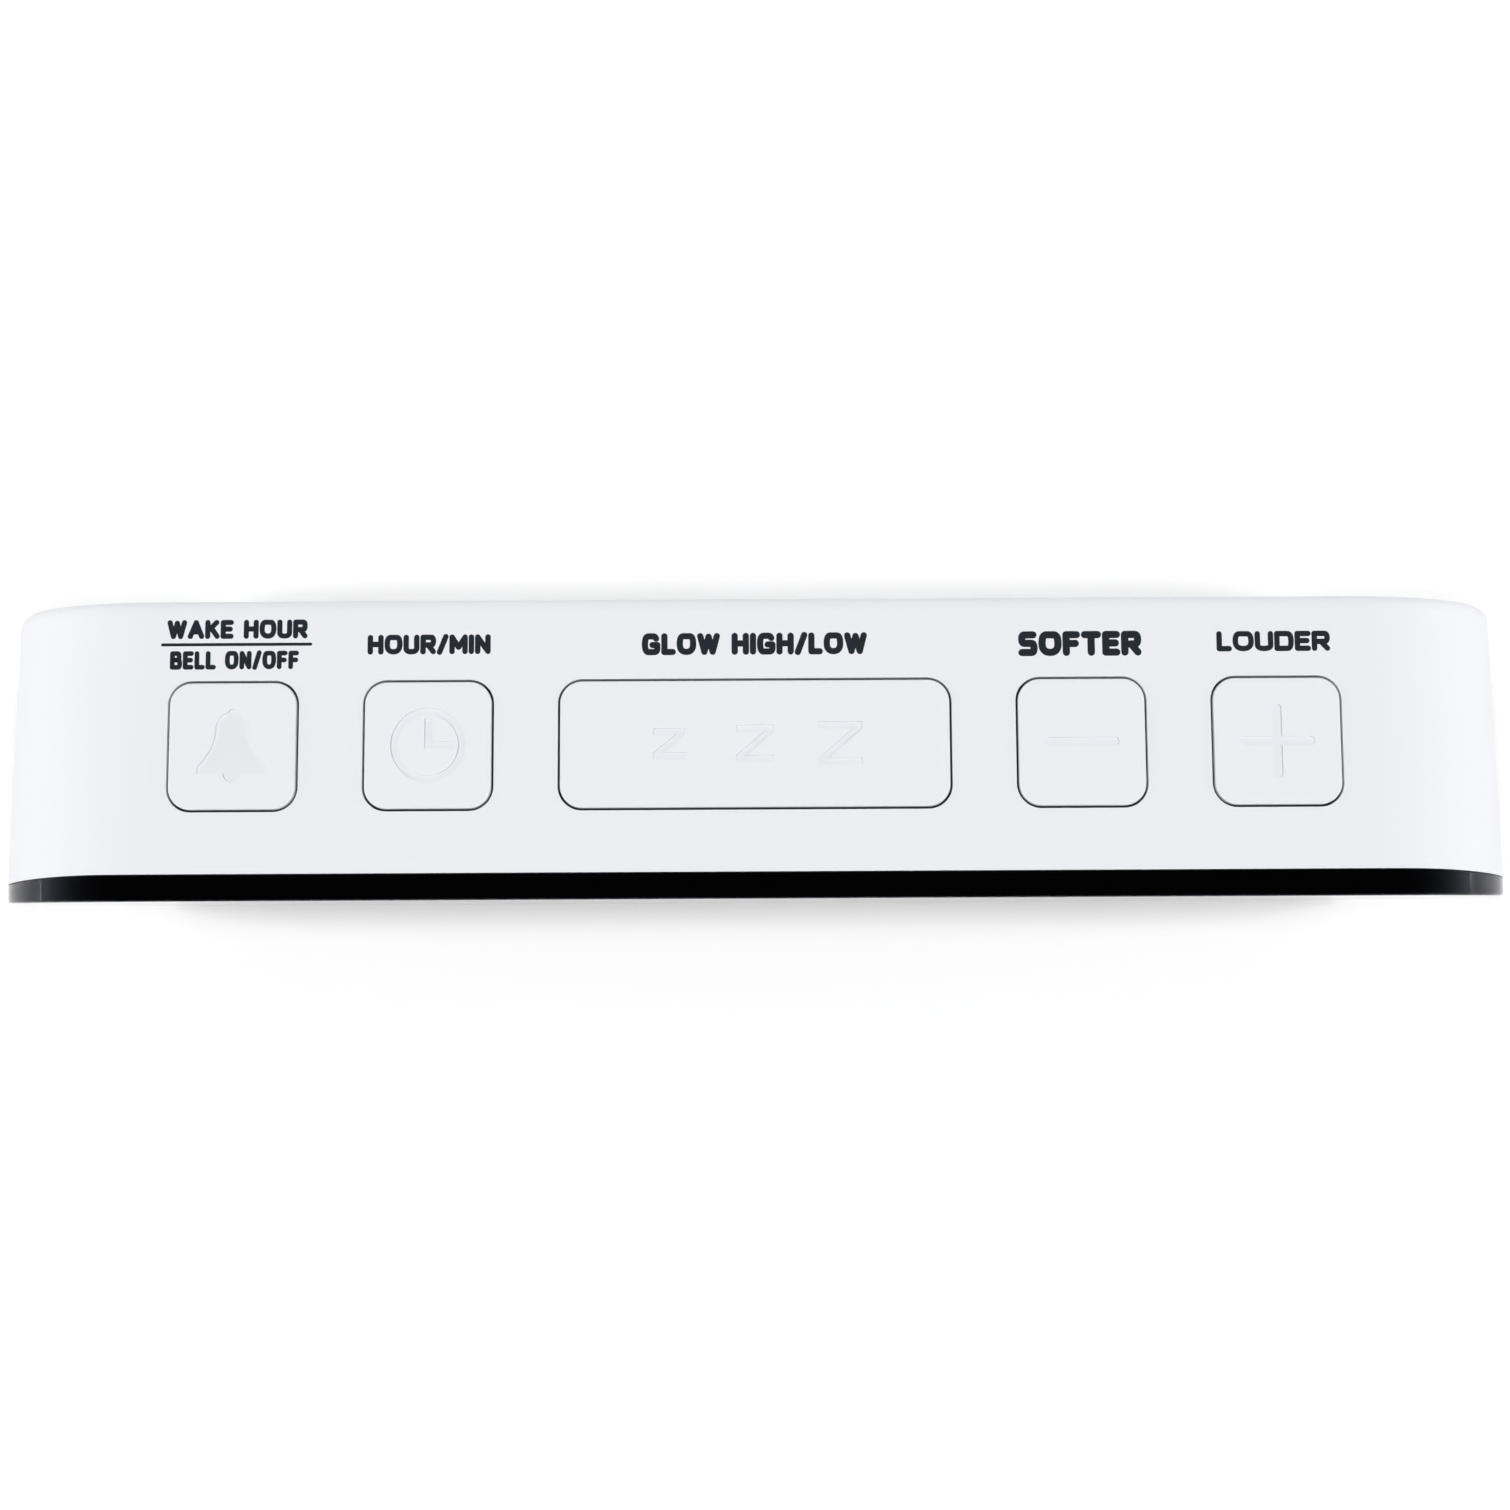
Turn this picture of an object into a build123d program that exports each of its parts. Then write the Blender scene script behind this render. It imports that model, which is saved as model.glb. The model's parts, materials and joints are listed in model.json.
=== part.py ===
from build123d import *
import math
import os

# Colour change alarm clock, in millimetres.
# +X is the user's right, +Y runs from the display to the back cover, +Z is up.
# The origin is on the table, under the middle of the clock.

# Case: one moulded shell, widest at the front and drawn in towards the rear
case_width = 163.0
case_height = 70.0
case_depth = 28.5
corner_radius = 18.5
side_taper = 0.5
top_taper = 1.7
wall = 2.0
rim_round = 1.4
seam_bow = 0.9
seam_bow_reach = 14.5
overrun = 1.0

# Rubber feet, let into the underside
foot_radius = 5.0
foot_proud = 1.0
foot_recess = 0.6
foot_edge_round = 0.4
foot_inset_side = 25.5
foot_inset_end = 7.5

# Lens: a smoked plate over the whole front, held by a frame of tape
lens_thickness = 2.8
lens_edge_round = 0.35
lens_gap = 0.12
tape_recess = 0.2
tape_margin = 1.0
tape_width = 4.0

# Display: reflector block in the front window, with its light pipes and lamps
window_side = 19.5
window_margin = 5.0
window_radius = 2.0
reflector_gap = 0.4
reflector_setback = 0.3
reflector_depth = 7.0
flange_width = 4.6
flange_lip = 3.0
flange_thickness = 1.5
digit_width = 21.0
digit_height = 36.0
stroke = 4.2
segment_gap = 0.35
inner_digit_share = 0.137
outer_digit_share = 0.355
colon_dot_radius = 2.1
colon_rise = 7.5
alarm_dot_radius = 1.5
alarm_dot_inset = 3.5
alarm_dot_rise = 16.0
lightpipe_depth = 2.0
lightpipe_gap = 0.05
led_length = 3.0
led_width = 2.4
led_height = 1.8

# Main board behind the reflector, on four posts of the case
board_thickness = 1.6
post_radius = 2.0
post_inset = 2.1
post_rise = 18.0
post_gap = 0.4
small_pilot_radius = 0.8
small_hole_radius = 1.1
small_head_radius = 1.8
small_head_height = 1.4
small_shank = 5.0
small_pilot_depth = 5.6
thread_gap = 0.03
cross_width = 0.6
cross_depth_share = 0.6
cross_reach_share = 0.7

# Parts soldered to the back of the main board
chip_length = 18.0
chip_width = 7.6
chip_height = 2.4
chip_gap = 0.6
chip_leads_per_side = 14
chip_lead_pitch = 1.2
chip_lead_width = 0.4
chip_lead_reach = 1.2
chip_lead_thickness = 0.3
crystal_length = 10.0
crystal_width = 4.0
crystal_height = 3.4
crystal_shift = 9.0
crystal_round = 1.9
capacitor_radius = 3.2
capacitor_height = 8.0
capacitor_shift = 3.0
capacitor_gap = 0.8
capacitor_edge_round = 0.5
transistor_count = 4
transistor_pitch = 4.5
transistor_length = 2.9
transistor_width = 1.6
transistor_height = 1.1
transistor_shift = 3.0
transistor_edge = 9.0
resistor_count = 7
resistor_pitch = 3.0
resistor_length = 3.2
resistor_width = 1.6
resistor_height = 0.6
resistor_shift = -3.0
resistor_edge = 2.5

# Keys on the sloping top, their switches and the board that carries them
key_width = 13.1
key_depth = 13.2
key_space = 7.1
key_corner = 2.3
key_gap = 0.25
key_proud = 0.3
key_edge_round = 0.25
key_flange = 0.8
key_flange_thickness = 1.0
key_skin = 1.4
key_post_radius = 1.6
key_row = 13.2
outer_key_inset = 27.5
icon_size = 7.7
icon_line = 0.7
icon_bar = 0.95
icon_depth = 0.3
snooze_switch_share = 0.3
sleep_pitch_share = 0.22
plunger_radius = 1.75
plunger_gap = 0.05
plunger_proud = 0.9
plunger_seat = 1.2
plunger_room = 0.8
switch_side = 6.0
switch_height = 3.4
key_board_depth = 9.6
key_board_thickness = 1.2
key_board_front = 3.2
key_board_rear = 6.8
key_board_end = 2.0
key_boss_radius = 2.0
key_boss_y = 2.0

# Flat ribbon from the key board down to the main board
ribbon_width = 10.0
ribbon_thickness = 0.8
ribbon_shift = 10.6
ribbon_back = 5.0
ribbon_drop = 9.0
ribbon_bend = 3.0

# Back cover, let into the rear of the case
cover_gap = 0.2
cover_recess = 0.4
cover_thickness = 2.0
well_radius = 2.7
well_wall = 1.2
well_depth = 6.0
well_floor = 1.8
boss_radius = 3.2
boss_inset_side = 11.0
boss_inset_low = 12.0
boss_inset_high = 13.5
cover_pilot_radius = 1.1
cover_hole_radius = 1.5
cover_head_radius = 2.3
cover_head_height = 1.7
cover_shank = 10.0
cover_pilot_depth = 10.0

# Battery box, moulded into the cover for two cells one above the other
cell_count = 2
cell_radius = 5.2
cell_length = 43.6
nub_radius = 1.9
nub_length = 0.9
cell_pitch = 11.0
cell_gap = 0.3
cell_edge_round = 0.4
tub_inset = 37.5
tub_drop = 3.0
tub_wall = 1.6
tub_head_room = 1.3
contact_thickness = 0.4
contact_width = 8.0
contact_height = 9.0
contact_bump = 0.8
contact_bump_radius = 2.2
tail_radius = 0.5
tail_reach = 1.5
tail_gap = 0.15
spring_reach = 3.9
spring_half_span = 3.6
spring_width = 4.0

# Battery door, hinged on two pins along its lower edge
door_thickness = 1.6
door_gap = 0.3
door_ledge = 1.2
ledge_gap = 0.1
door_axis_depth = 1.3
barrel_radius = 1.1
pin_radius = 0.7
pin_reach = 1.2
pin_gap = 0.06
ear_length = 2.6
ear_half_height = 2.2
grip_count = 4
grip_pitch = 1.8
grip_width = 0.8
grip_length = 14.0
grip_depth = 0.4
grip_drop = 3.0

# Loudspeaker behind the slots of the cover
speaker_inset = 41.5
speaker_radius = 18.0
speaker_lip = 3.4
speaker_seat = 2.0
speaker_rim = 1.0
basket_height = 5.4
basket_floor_radius = 9.5
basket_skin = 0.8
magnet_radius = 8.5
magnet_height = 4.0
cone_skin = 0.4
cone_gap = 0.1
cone_apex_radius = 4.0
cone_depth = 3.4
dust_cap_height = 1.2
coil_outer_radius = 4.4
coil_inner_radius = 3.9
coil_gap = 0.2
speaker_post_radius = 1.9
speaker_post_gap = 0.3
speaker_post_count = 3
speaker_head_radius = 3.3
speaker_head_height = 1.2
speaker_shank = 3.2
speaker_pilot_depth = 3.8
slot_count = 7
slot_pitch = 3.8
slot_width = 1.8
slot_field_radius = 13.5

# Power socket for a round plug, in a cradle of the cover
socket_inset = 11.5
socket_drop = 5.0
socket_width = 9.0
socket_height = 11.0
socket_length = 11.0
socket_nose_radius = 3.9
socket_nose_gap = 0.2
socket_nose_setback = 0.4
socket_bore_radius = 3.0
socket_bore_depth = 9.5
socket_pin_radius = 1.0
socket_pin_length = 8.0
cradle_wall = 1.2
cradle_gap = 0.1
cradle_depth = 7.0

# Insulated leads
lead_radius = 0.6
lead_bend_share = 0.45
battery_lead_shift = 4.0
speaker_lead_pitch = 3.4
speaker_lead_drop = 3.4
power_lead_pitch = 5.4
power_lead_shift = 9.0

# Places worked out from the sizes above
total_depth = lens_thickness + case_depth
front_y = -total_depth / 2
seam_y = front_y + lens_thickness
rear_y = seam_y + case_depth
base_z = foot_proud
top_z = base_z + case_height
middle_z = base_z + case_height / 2
window_width = case_width - 2 * window_side
window_height = digit_height + 2 * window_margin
inner_digit_x = window_width * inner_digit_share
outer_digit_x = window_width * outer_digit_share
alarm_dot_x = window_width / 2 - alarm_dot_inset
inner_front_y = seam_y + wall
reflector_front_y = seam_y + reflector_setback
board_front_y = reflector_front_y + reflector_depth
board_rear_y = board_front_y + board_thickness
cover_outer_y = rear_y - cover_recess
cover_inner_y = cover_outer_y - cover_thickness
well_floor_y = cover_outer_y - well_depth
boss_top_y = well_floor_y - well_floor
board_width = window_width + 2 * flange_width
board_height = window_height
post_x = board_width / 2 - post_inset
board_low_z = middle_z - board_height / 2
board_high_z = middle_z + board_height / 2
chip_reach = chip_width + 2 * chip_lead_reach
resistor_z = board_low_z + resistor_edge
chip_z = resistor_z + resistor_length / 2 + chip_gap + chip_reach / 2
cell_y = cover_outer_y - door_thickness - cell_gap - cell_radius
tub_floor_y = cell_y - cell_radius - cell_gap
tub_outer_y = tub_floor_y - tub_wall
tub_length = cell_length + nub_length + contact_bump + 2 * contact_thickness + spring_reach
tub_height = (cell_count - 1) * cell_pitch + 2 * (cell_radius + cell_gap) + tub_head_room
tub_low_z = middle_z - tub_drop - tub_height / 2
tub_high_z = tub_low_z + tub_height
tub_x = case_width / 2 - tub_inset
tub_left_x = tub_x - tub_length / 2
tub_right_x = tub_x + tub_length / 2
tail_end_x = tub_left_x - tub_wall - tail_reach
axis_y = cover_outer_y - door_axis_depth
axis_z = tub_low_z + door_axis_depth + door_gap
opening_left_x = tub_left_x - door_ledge
opening_right_x = tub_right_x + door_ledge
opening_high_z = tub_high_z + door_ledge
speaker_x = speaker_inset - case_width / 2
speaker_z = middle_z
speaker_seat_y = cover_inner_y - speaker_seat
speaker_back_y = speaker_seat_y - speaker_rim
basket_back_y = speaker_seat_y - basket_height
socket_x = socket_inset - case_width / 2
socket_z = middle_z - socket_drop
socket_front_y = cover_inner_y - socket_length
slope = math.degrees(math.atan2(top_taper, case_depth))
plunger_top_depth = key_board_depth - switch_height - plunger_proud
clear_x = (speaker_x + speaker_radius + opening_left_x - ear_length) / 2

# The sloping top: local X to the right, local Y to the rear, local Z out of the face
outer_key_x = case_width / 2 - outer_key_inset
inner_key_x = outer_key_x - key_width - key_space
snooze_width = 2 * (inner_key_x - key_width / 2 - key_space)
snooze_switch_x = snooze_width * snooze_switch_share
key_row_z = top_z - top_taper * key_row / case_depth
top_plane = Plane(
    origin=(0, seam_y + key_row, key_row_z),
    x_dir=(1, 0, 0),
    z_dir=(0, math.sin(math.radians(slope)), math.cos(math.radians(slope))),
)
key_places = {
    "alarm": -outer_key_x,
    "time": -inner_key_x,
    "snooze": 0,
    "minus": inner_key_x,
    "plus": outer_key_x,
}
inner_boss_x = (inner_key_x - key_width / 2 + snooze_width / 2) / 2
outer_boss_x = (inner_key_x + outer_key_x) / 2
key_boss_places = (-outer_boss_x, -inner_boss_x, inner_boss_x, outer_boss_x)
digit_places = {
    "hour_tens": -outer_digit_x,
    "hour_ones": -inner_digit_x,
    "minute_tens": inner_digit_x,
    "minute_ones": outer_digit_x,
}


def span(centre, size):
    """Low and high limit of a length about its middle."""
    return (centre - size / 2, centre + size / 2)


def block(x_span, y_span, z_span):
    """Box between two limits on each axis."""
    spans = (x_span, y_span, z_span)
    sizes = [high - low for low, high in spans]
    centres = [(low + high) / 2 for low, high in spans]
    return Pos(*centres) * Box(*sizes)


def rod_y(x, z, y_span, radius):
    """Round bar along Y."""
    low, high = y_span
    return Pos(x, (low + high) / 2, z) * Rot(90, 0, 0) * Cylinder(radius, high - low)


def rod_x(y, z, x_span, radius):
    """Round bar along X."""
    low, high = x_span
    return Pos((low + high) / 2, y, z) * Rot(0, 90, 0) * Cylinder(radius, high - low)


def rod_z(x, y, z_span, radius):
    """Round bar along Z."""
    low, high = z_span
    return Pos(x, y, (low + high) / 2) * Cylinder(radius, high - low)


def facing_front(y, z=middle_z, x=0):
    """Upright plane at depth y that faces the user, with its local Y up."""
    return Plane(origin=(x, y, z), x_dir=(1, 0, 0), z_dir=(0, -1, 0))


def mirrored_places(x, z_values):
    """The same heights on the left and on the right."""
    return [(side * x, z) for side in (-1, 1) for z in z_values]


def on_top(x, shape):
    """Moves a shape drawn in the frame of the sloping top to its place along the row."""
    return top_plane.location * Pos(x, 0, 0) * shape


def joined(shapes):
    """Several separate solids kept in one node."""
    return Compound(children=[solid for shape in shapes for solid in shape.solids()])


def case_section(y, inset):
    """Rounded outline of the case at depth y, drawn in by inset all round."""
    taper_share = (y - seam_y) / case_depth
    width = case_width - 2 * side_taper * taper_share - 2 * inset
    low = base_z + inset
    high = top_z - top_taper * taper_share - inset
    outline = RectangleRounded(width, high - low, corner_radius - inset)
    return facing_front(y, (low + high) / 2) * outline


def case_block(low_y, high_y, inset):
    """Solid of the case's tapering form between two depths."""
    return loft([case_section(low_y, inset), case_section(high_y, inset)], ruled=True)


def lens_space(gap):
    """Everything ahead of the seam, which curves forward at the two ends of the case."""
    bow_radius = (seam_bow_reach**2 + seam_bow**2) / (2 * seam_bow)
    start_x = case_width / 2 - seam_bow_reach
    end_x = case_width / 2 + overrun
    middle_x = (start_x + end_x) / 2
    seam = seam_y - gap

    def bow(x):
        return seam - bow_radius + math.sqrt(bow_radius**2 - (x - start_x) ** 2)

    front = front_y - overrun
    outline = [
        Line((-end_x, front), (end_x, front)),
        Line((end_x, front), (end_x, bow(end_x))),
        ThreePointArc((end_x, bow(end_x)), (middle_x, bow(middle_x)), (start_x, seam)),
        Line((start_x, seam), (-start_x, seam)),
        ThreePointArc((-start_x, seam), (-middle_x, bow(middle_x)), (-end_x, bow(end_x))),
        Line((-end_x, bow(end_x)), (-end_x, front)),
    ]
    return extrude(make_face(outline), top_z + overrun)


def window_plan(margin):
    """Rounded outline of the front window, grown by margin."""
    width = window_width + 2 * margin
    return RectangleRounded(width, window_height + 2 * margin, window_radius + max(margin, 0))


def tape_ring(y_span):
    """Frame of one width round the window, over a span of depth."""
    low, high = y_span
    outer = window_plan(tape_margin + tape_width)
    return extrude(facing_front(high) * (outer - window_plan(tape_margin)), high - low)


def cover_screw_places():
    """Where the four screws of the back cover stand."""
    x = case_width / 2 - boss_inset_side
    return mirrored_places(x, (base_z + boss_inset_low, top_z - boss_inset_high))


def board_screw_places():
    """Where the four screws of the main board stand."""
    return mirrored_places(post_x, (middle_z - post_rise, middle_z + post_rise))


def foot_places():
    """Where the four feet stand."""
    x = case_width / 2 - foot_inset_side
    return [(side * x, y) for side in (-1, 1) for y in (seam_y + foot_inset_end, rear_y - foot_inset_end)]


def key_plan(name, margin):
    """Rounded outline of a key's top, grown by margin."""
    width = snooze_width if name == "snooze" else key_width
    return RectangleRounded(width + 2 * margin, key_depth + 2 * margin, key_corner + margin)


def switch_places(name):
    """Where a key's switches stand along the row, from the key's middle."""
    return (-snooze_switch_x, snooze_switch_x) if name == "snooze" else (0,)


def make_case_shell():
    """White shell: front frame, sloping top with key openings, sides, base, posts and bosses."""
    nose = extrude(case_section(seam_y, 0), seam_bow)
    shell = nose + case_block(seam_y, rear_y, 0)
    shell = fillet(shell.edges().filter_by(lambda e: e.bounding_box().min.Y > rear_y - rim_round), rim_round)
    shell -= lens_space(0)
    shell -= case_block(inner_front_y, rear_y + overrun, wall)
    shell -= extrude(facing_front(inner_front_y + overrun) * window_plan(0), wall + 2 * overrun)
    shell -= tape_ring((seam_y - overrun, seam_y + tape_recess))
    for x, z in cover_screw_places():
        shell += rod_y(x, z, (inner_front_y - wall / 2, boss_top_y), boss_radius)
    for x, z in board_screw_places():
        shell += rod_y(x, z, (inner_front_y - wall / 2, board_front_y), post_radius)
    boss_length = key_board_depth - wall / 2
    for x in key_boss_places:
        boss = Cylinder(key_boss_radius, boss_length, align=(Align.CENTER, Align.CENTER, Align.MAX))
        shell += on_top(x, Pos(0, key_boss_y, -wall / 2) * boss)
    for x, z in cover_screw_places():
        shell -= rod_y(x, z, (boss_top_y - cover_pilot_depth, boss_top_y + overrun), cover_pilot_radius)
    for x, z in board_screw_places():
        shell -= rod_y(x, z, (board_front_y - small_pilot_depth, board_front_y + overrun), small_pilot_radius)
    for x in key_boss_places:
        pilot = Cylinder(small_pilot_radius, small_pilot_depth, align=(Align.CENTER, Align.CENTER, Align.MIN))
        shell -= on_top(x, Pos(0, key_boss_y, -key_board_depth) * pilot)
    for name, x in key_places.items():
        opening = extrude(key_plan(name, key_gap), wall + 2 * overrun)
        shell -= on_top(x, Pos(0, 0, -wall - overrun) * opening)
    for x, y in foot_places():
        shell -= rod_z(x, y, (base_z - overrun, base_z + foot_recess), foot_radius)
    return shell


def make_rubber_feet():
    """Four soft discs that the clock stands on."""
    feet = []
    for x, y in foot_places():
        foot = rod_z(x, y, (0, foot_proud + foot_recess), foot_radius)
        feet.append(fillet(foot.edges().group_by(Axis.Z)[0], foot_edge_round))
    return joined(feet)


def make_lens():
    """Smoked front plate, thinner at its two ends where the case reaches forward."""
    outline = RectangleRounded(case_width, case_height, corner_radius)
    plate = extrude(facing_front(seam_y) * outline, lens_thickness)
    plate = fillet(plate.edges().group_by(Axis.Y)[0], lens_edge_round)
    return plate & lens_space(lens_gap)


def make_lens_tape():
    """Black tape frame that carries the lens."""
    return tape_ring((seam_y - lens_gap, seam_y + tape_recess))


def segment_shape(length):
    """One bar of a figure, pointed at both ends, lying along X."""
    half = length / 2
    shoulder = half - stroke / 2
    return make_face(
        Polyline(
            (-half, 0),
            (-shoulder, stroke / 2),
            (shoulder, stroke / 2),
            (half, 0),
            (shoulder, -stroke / 2),
            (-shoulder, -stroke / 2),
            close=True,
        )
    )


def figure_segments():
    """The seven bars of one figure, about its middle."""
    side_x = (digit_width - stroke) / 2
    end_y = (digit_height - stroke) / 2
    flat = segment_shape(digit_width - stroke - 2 * segment_gap)
    upright = Rot(0, 0, 90) * segment_shape(end_y - 2 * segment_gap)
    bars = [Pos(0, y) * flat for y in (-end_y, 0, end_y)]
    bars += [Pos(x, y) * upright for x in (-side_x, side_x) for y in (-end_y / 2, end_y / 2)]
    return bars


def display_cells():
    """Every lit area of the display by node name, drawn about the middle of the window."""
    cells = {}
    for name, x in digit_places.items():
        cells[name + "_segments"] = [Pos(x, 0) * bar for bar in figure_segments()]
    cells["colon_dots"] = [Pos(0, y) * Circle(colon_dot_radius) for y in (-colon_rise, colon_rise)]
    cells["alarm_dot"] = [Pos(-alarm_dot_x, alarm_dot_rise) * Circle(alarm_dot_radius)]
    return cells


def make_display_reflector():
    """Block with one open cell for each lit area, seated behind the front wall by its flange."""
    flange = RectangleRounded(board_width, window_height + 2 * flange_lip, window_radius)
    block_solid = extrude(facing_front(board_front_y) * window_plan(-reflector_gap), reflector_depth)
    block_solid += extrude(facing_front(inner_front_y + flange_thickness) * flange, flange_thickness)
    for x, z in board_screw_places():
        block_solid -= rod_y(x, z, (inner_front_y - overrun, board_front_y), post_radius + post_gap)
    cut_plane = facing_front(board_front_y + overrun)
    for shapes in display_cells().values():
        for shape in shapes:
            block_solid -= extrude(cut_plane * shape, reflector_depth + 2 * overrun)
    return block_solid


def make_lightpipes(shapes):
    """Milky inserts that fill the front of some of the reflector's cells."""
    plane = facing_front(reflector_front_y + lightpipe_depth)
    pipes = [extrude(plane * offset(shape, -lightpipe_gap), lightpipe_depth) for shape in shapes]
    return joined(pipes)


def make_display_leds():
    """One colour lamp behind each lit area, on the face of the main board."""
    lamps = []
    for name, shapes in display_cells().items():
        for shape in shapes:
            centre = shape.center()
            upright = shape.bounding_box().size.Y > shape.bounding_box().size.X
            width, height = (led_width, led_length) if upright else (led_length, led_width)
            if name == "alarm_dot":
                width, height = (alarm_dot_radius, alarm_dot_radius)
            x_span = span(centre.X, width)
            z_span = span(middle_z + centre.Y, height)
            lamps.append(block(x_span, (board_front_y - led_height, board_front_y), z_span))
    return joined(lamps)


def make_main_board():
    """Circuit board that closes the back of the reflector."""
    board = block(span(0, board_width), (board_front_y, board_rear_y), span(middle_z, board_height))
    for x, z in board_screw_places():
        board -= rod_y(x, z, (board_front_y - overrun, board_rear_y + overrun), small_hole_radius)
    return board


def make_controller_chip():
    """Clock controller with a row of leads along both long sides."""
    body_low_y = board_rear_y + chip_lead_thickness
    body_span = (body_low_y, body_low_y + chip_height)
    chip = block(span(clear_x, chip_length), body_span, span(chip_z, chip_width))
    first_x = clear_x - (chip_leads_per_side - 1) * chip_lead_pitch / 2
    lead_y = (board_rear_y, board_rear_y + 2 * chip_lead_thickness)
    for index in range(chip_leads_per_side):
        x = first_x + index * chip_lead_pitch
        chip += block(span(x, chip_lead_width), lead_y, span(chip_z, chip_reach))
    return chip


def make_quartz_crystal():
    """Metal can of the timing crystal, lying on the board."""
    x_span = span(clear_x - crystal_shift, crystal_width)
    y_span = (board_rear_y, board_rear_y + crystal_height)
    can = block(x_span, y_span, span(middle_z, crystal_length))
    return fillet(can.edges().filter_by(Axis.Y), crystal_round)


def make_smoothing_capacitors():
    """Two round capacitors that stand off the back of the board, above the chip."""
    y_span = (board_rear_y, board_rear_y + capacitor_height)
    first_z = chip_z + chip_reach / 2 + chip_gap + capacitor_radius
    cans = []
    for z in (first_z, first_z + 2 * capacitor_radius + capacitor_gap):
        can = rod_y(clear_x - capacitor_shift, z, y_span, capacitor_radius)
        cans.append(fillet(can.edges().group_by(Axis.Y)[-1], capacitor_edge_round))
    return joined(cans)


def board_row(count, pitch, first_x, z, length, width, height):
    """Row of like blocks on the back of the main board."""
    y_span = (board_rear_y, board_rear_y + height)
    return joined(
        [block(span(first_x + i * pitch, width), y_span, span(z, length)) for i in range(count)]
    )


def make_driver_transistors():
    """Small transistors that switch the display's colours."""
    return board_row(
        transistor_count,
        transistor_pitch,
        clear_x + transistor_shift,
        board_high_z - transistor_edge,
        transistor_length,
        transistor_width,
        transistor_height,
    )


def make_resistors():
    """Row of chip resistors."""
    return board_row(
        resistor_count,
        resistor_pitch,
        clear_x + resistor_shift,
        resistor_z,
        resistor_length,
        resistor_width,
        resistor_height,
    )


def screw(head_radius, head_height, shank_radius, shank_length):
    """Cross-head screw standing on its head's seat: head above the origin, shank below."""
    head = Cylinder(head_radius, head_height, align=(Align.CENTER, Align.CENTER, Align.MIN))
    head = fillet(head.edges().group_by(Axis.Z)[-1], head_height / 2)
    shank = Cylinder(shank_radius - thread_gap, shank_length, align=(Align.CENTER, Align.CENTER, Align.MAX))
    arm = 2 * head_radius * cross_reach_share
    depth = head_height * cross_depth_share
    slot = Pos(0, 0, head_height - depth / 2) * Box(arm, cross_width, depth)
    return head + shank - slot - Rot(0, 0, 90) * slot


def rear_screws(places, seat_y, *sizes):
    """Screws driven in from the back, with their heads on a seat at one depth."""
    return joined([Pos(x, seat_y, z) * Rot(-90, 0, 0) * screw(*sizes) for x, z in places])


def make_board_screws():
    """Screws that hold the main board and the reflector to the case."""
    sizes = (small_head_radius, small_head_height, small_pilot_radius, small_shank)
    return rear_screws(board_screw_places(), board_rear_y, *sizes)


def make_cover_screws():
    """Screws at the bottom of the cover's wells."""
    sizes = (cover_head_radius, cover_head_height, cover_pilot_radius, cover_shank)
    return rear_screws(cover_screw_places(), well_floor_y, *sizes)


def bell_icon():
    """Plain bell: knob, dome, flared skirt with an upright lip, and clapper."""
    half = icon_size / 2
    brim_share, brim_drop_share, lip_share = 0.94, 0.74, 0.18
    waist_share, waist_drop_share = 0.57, 0.04
    dome_share, dome_rise_share = 0.46, 0.46
    clapper_share, knob_share = 0.24, 0.14
    brim, waist, dome = half * brim_share, half * waist_share, half * dome_share
    brim_y = -half * brim_drop_share
    lip_y = brim_y + half * lip_share
    waist_y = -half * waist_drop_share
    dome_y = half * dome_rise_share
    skirt = make_face(
        [
            Line((-brim, brim_y), (brim, brim_y)),
            Line((brim, brim_y), (brim, lip_y)),
            Spline((brim, lip_y), (waist, waist_y), (dome, dome_y), tangents=((-1, 1), (0, 1))),
            Line((dome, dome_y), (-dome, dome_y)),
            Spline((-dome, dome_y), (-waist, waist_y), (-brim, lip_y), tangents=((0, -1), (-1, -1))),
            Line((-brim, lip_y), (-brim, brim_y)),
        ]
    )
    crown = Pos(0, dome_y) * Circle(dome)
    knob = Pos(0, half - half * knob_share) * Circle(half * knob_share)
    clapper = Pos(0, brim_y) * Circle(half * clapper_share)
    return skirt + crown + knob + clapper


def clock_icon():
    """Ring with two hands at three o'clock."""
    radius = icon_size / 2
    hand_share = 0.62
    ring = Circle(radius) - Circle(radius - icon_line)
    hand = radius * hand_share
    upright = Pos(0, hand / 2) * Rectangle(icon_line, hand + icon_line)
    flat = Pos(hand / 2, 0) * Rectangle(hand + icon_line, icon_line)
    return ring + upright + flat


def minus_icon():
    """Short bar with round ends."""
    return SlotOverall(icon_size, icon_bar)


def plus_icon():
    """Two crossed bars with round ends."""
    return SlotOverall(icon_size, icon_bar) + Rot(0, 0, 90) * SlotOverall(icon_size, icon_bar)


def letter_z(size):
    """One plain Z, for sleep."""
    half = size / 2
    inner = half - icon_line
    slant = icon_line * math.sqrt(2)
    return make_face(
        Polyline(
            (-half, half),
            (half, half),
            (half, inner),
            (-half + slant, -inner),
            (half, -inner),
            (half, -half),
            (-half, -half),
            (-half, -inner),
            (half - slant, inner),
            (-half, inner),
            close=True,
        )
    )


def sleep_icon():
    """Three Zs that grow to the right."""
    size_shares = (0.42, 0.5, 0.58)
    pitch = snooze_width * sleep_pitch_share
    signs = [
        Pos((index - 1) * pitch, 0) * letter_z(icon_size * share)
        for index, share in enumerate(size_shares)
    ]
    return signs[0] + signs[1] + signs[2]


key_icons = {
    "alarm": bell_icon,
    "time": clock_icon,
    "snooze": sleep_icon,
    "minus": minus_icon,
    "plus": plus_icon,
}


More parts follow.
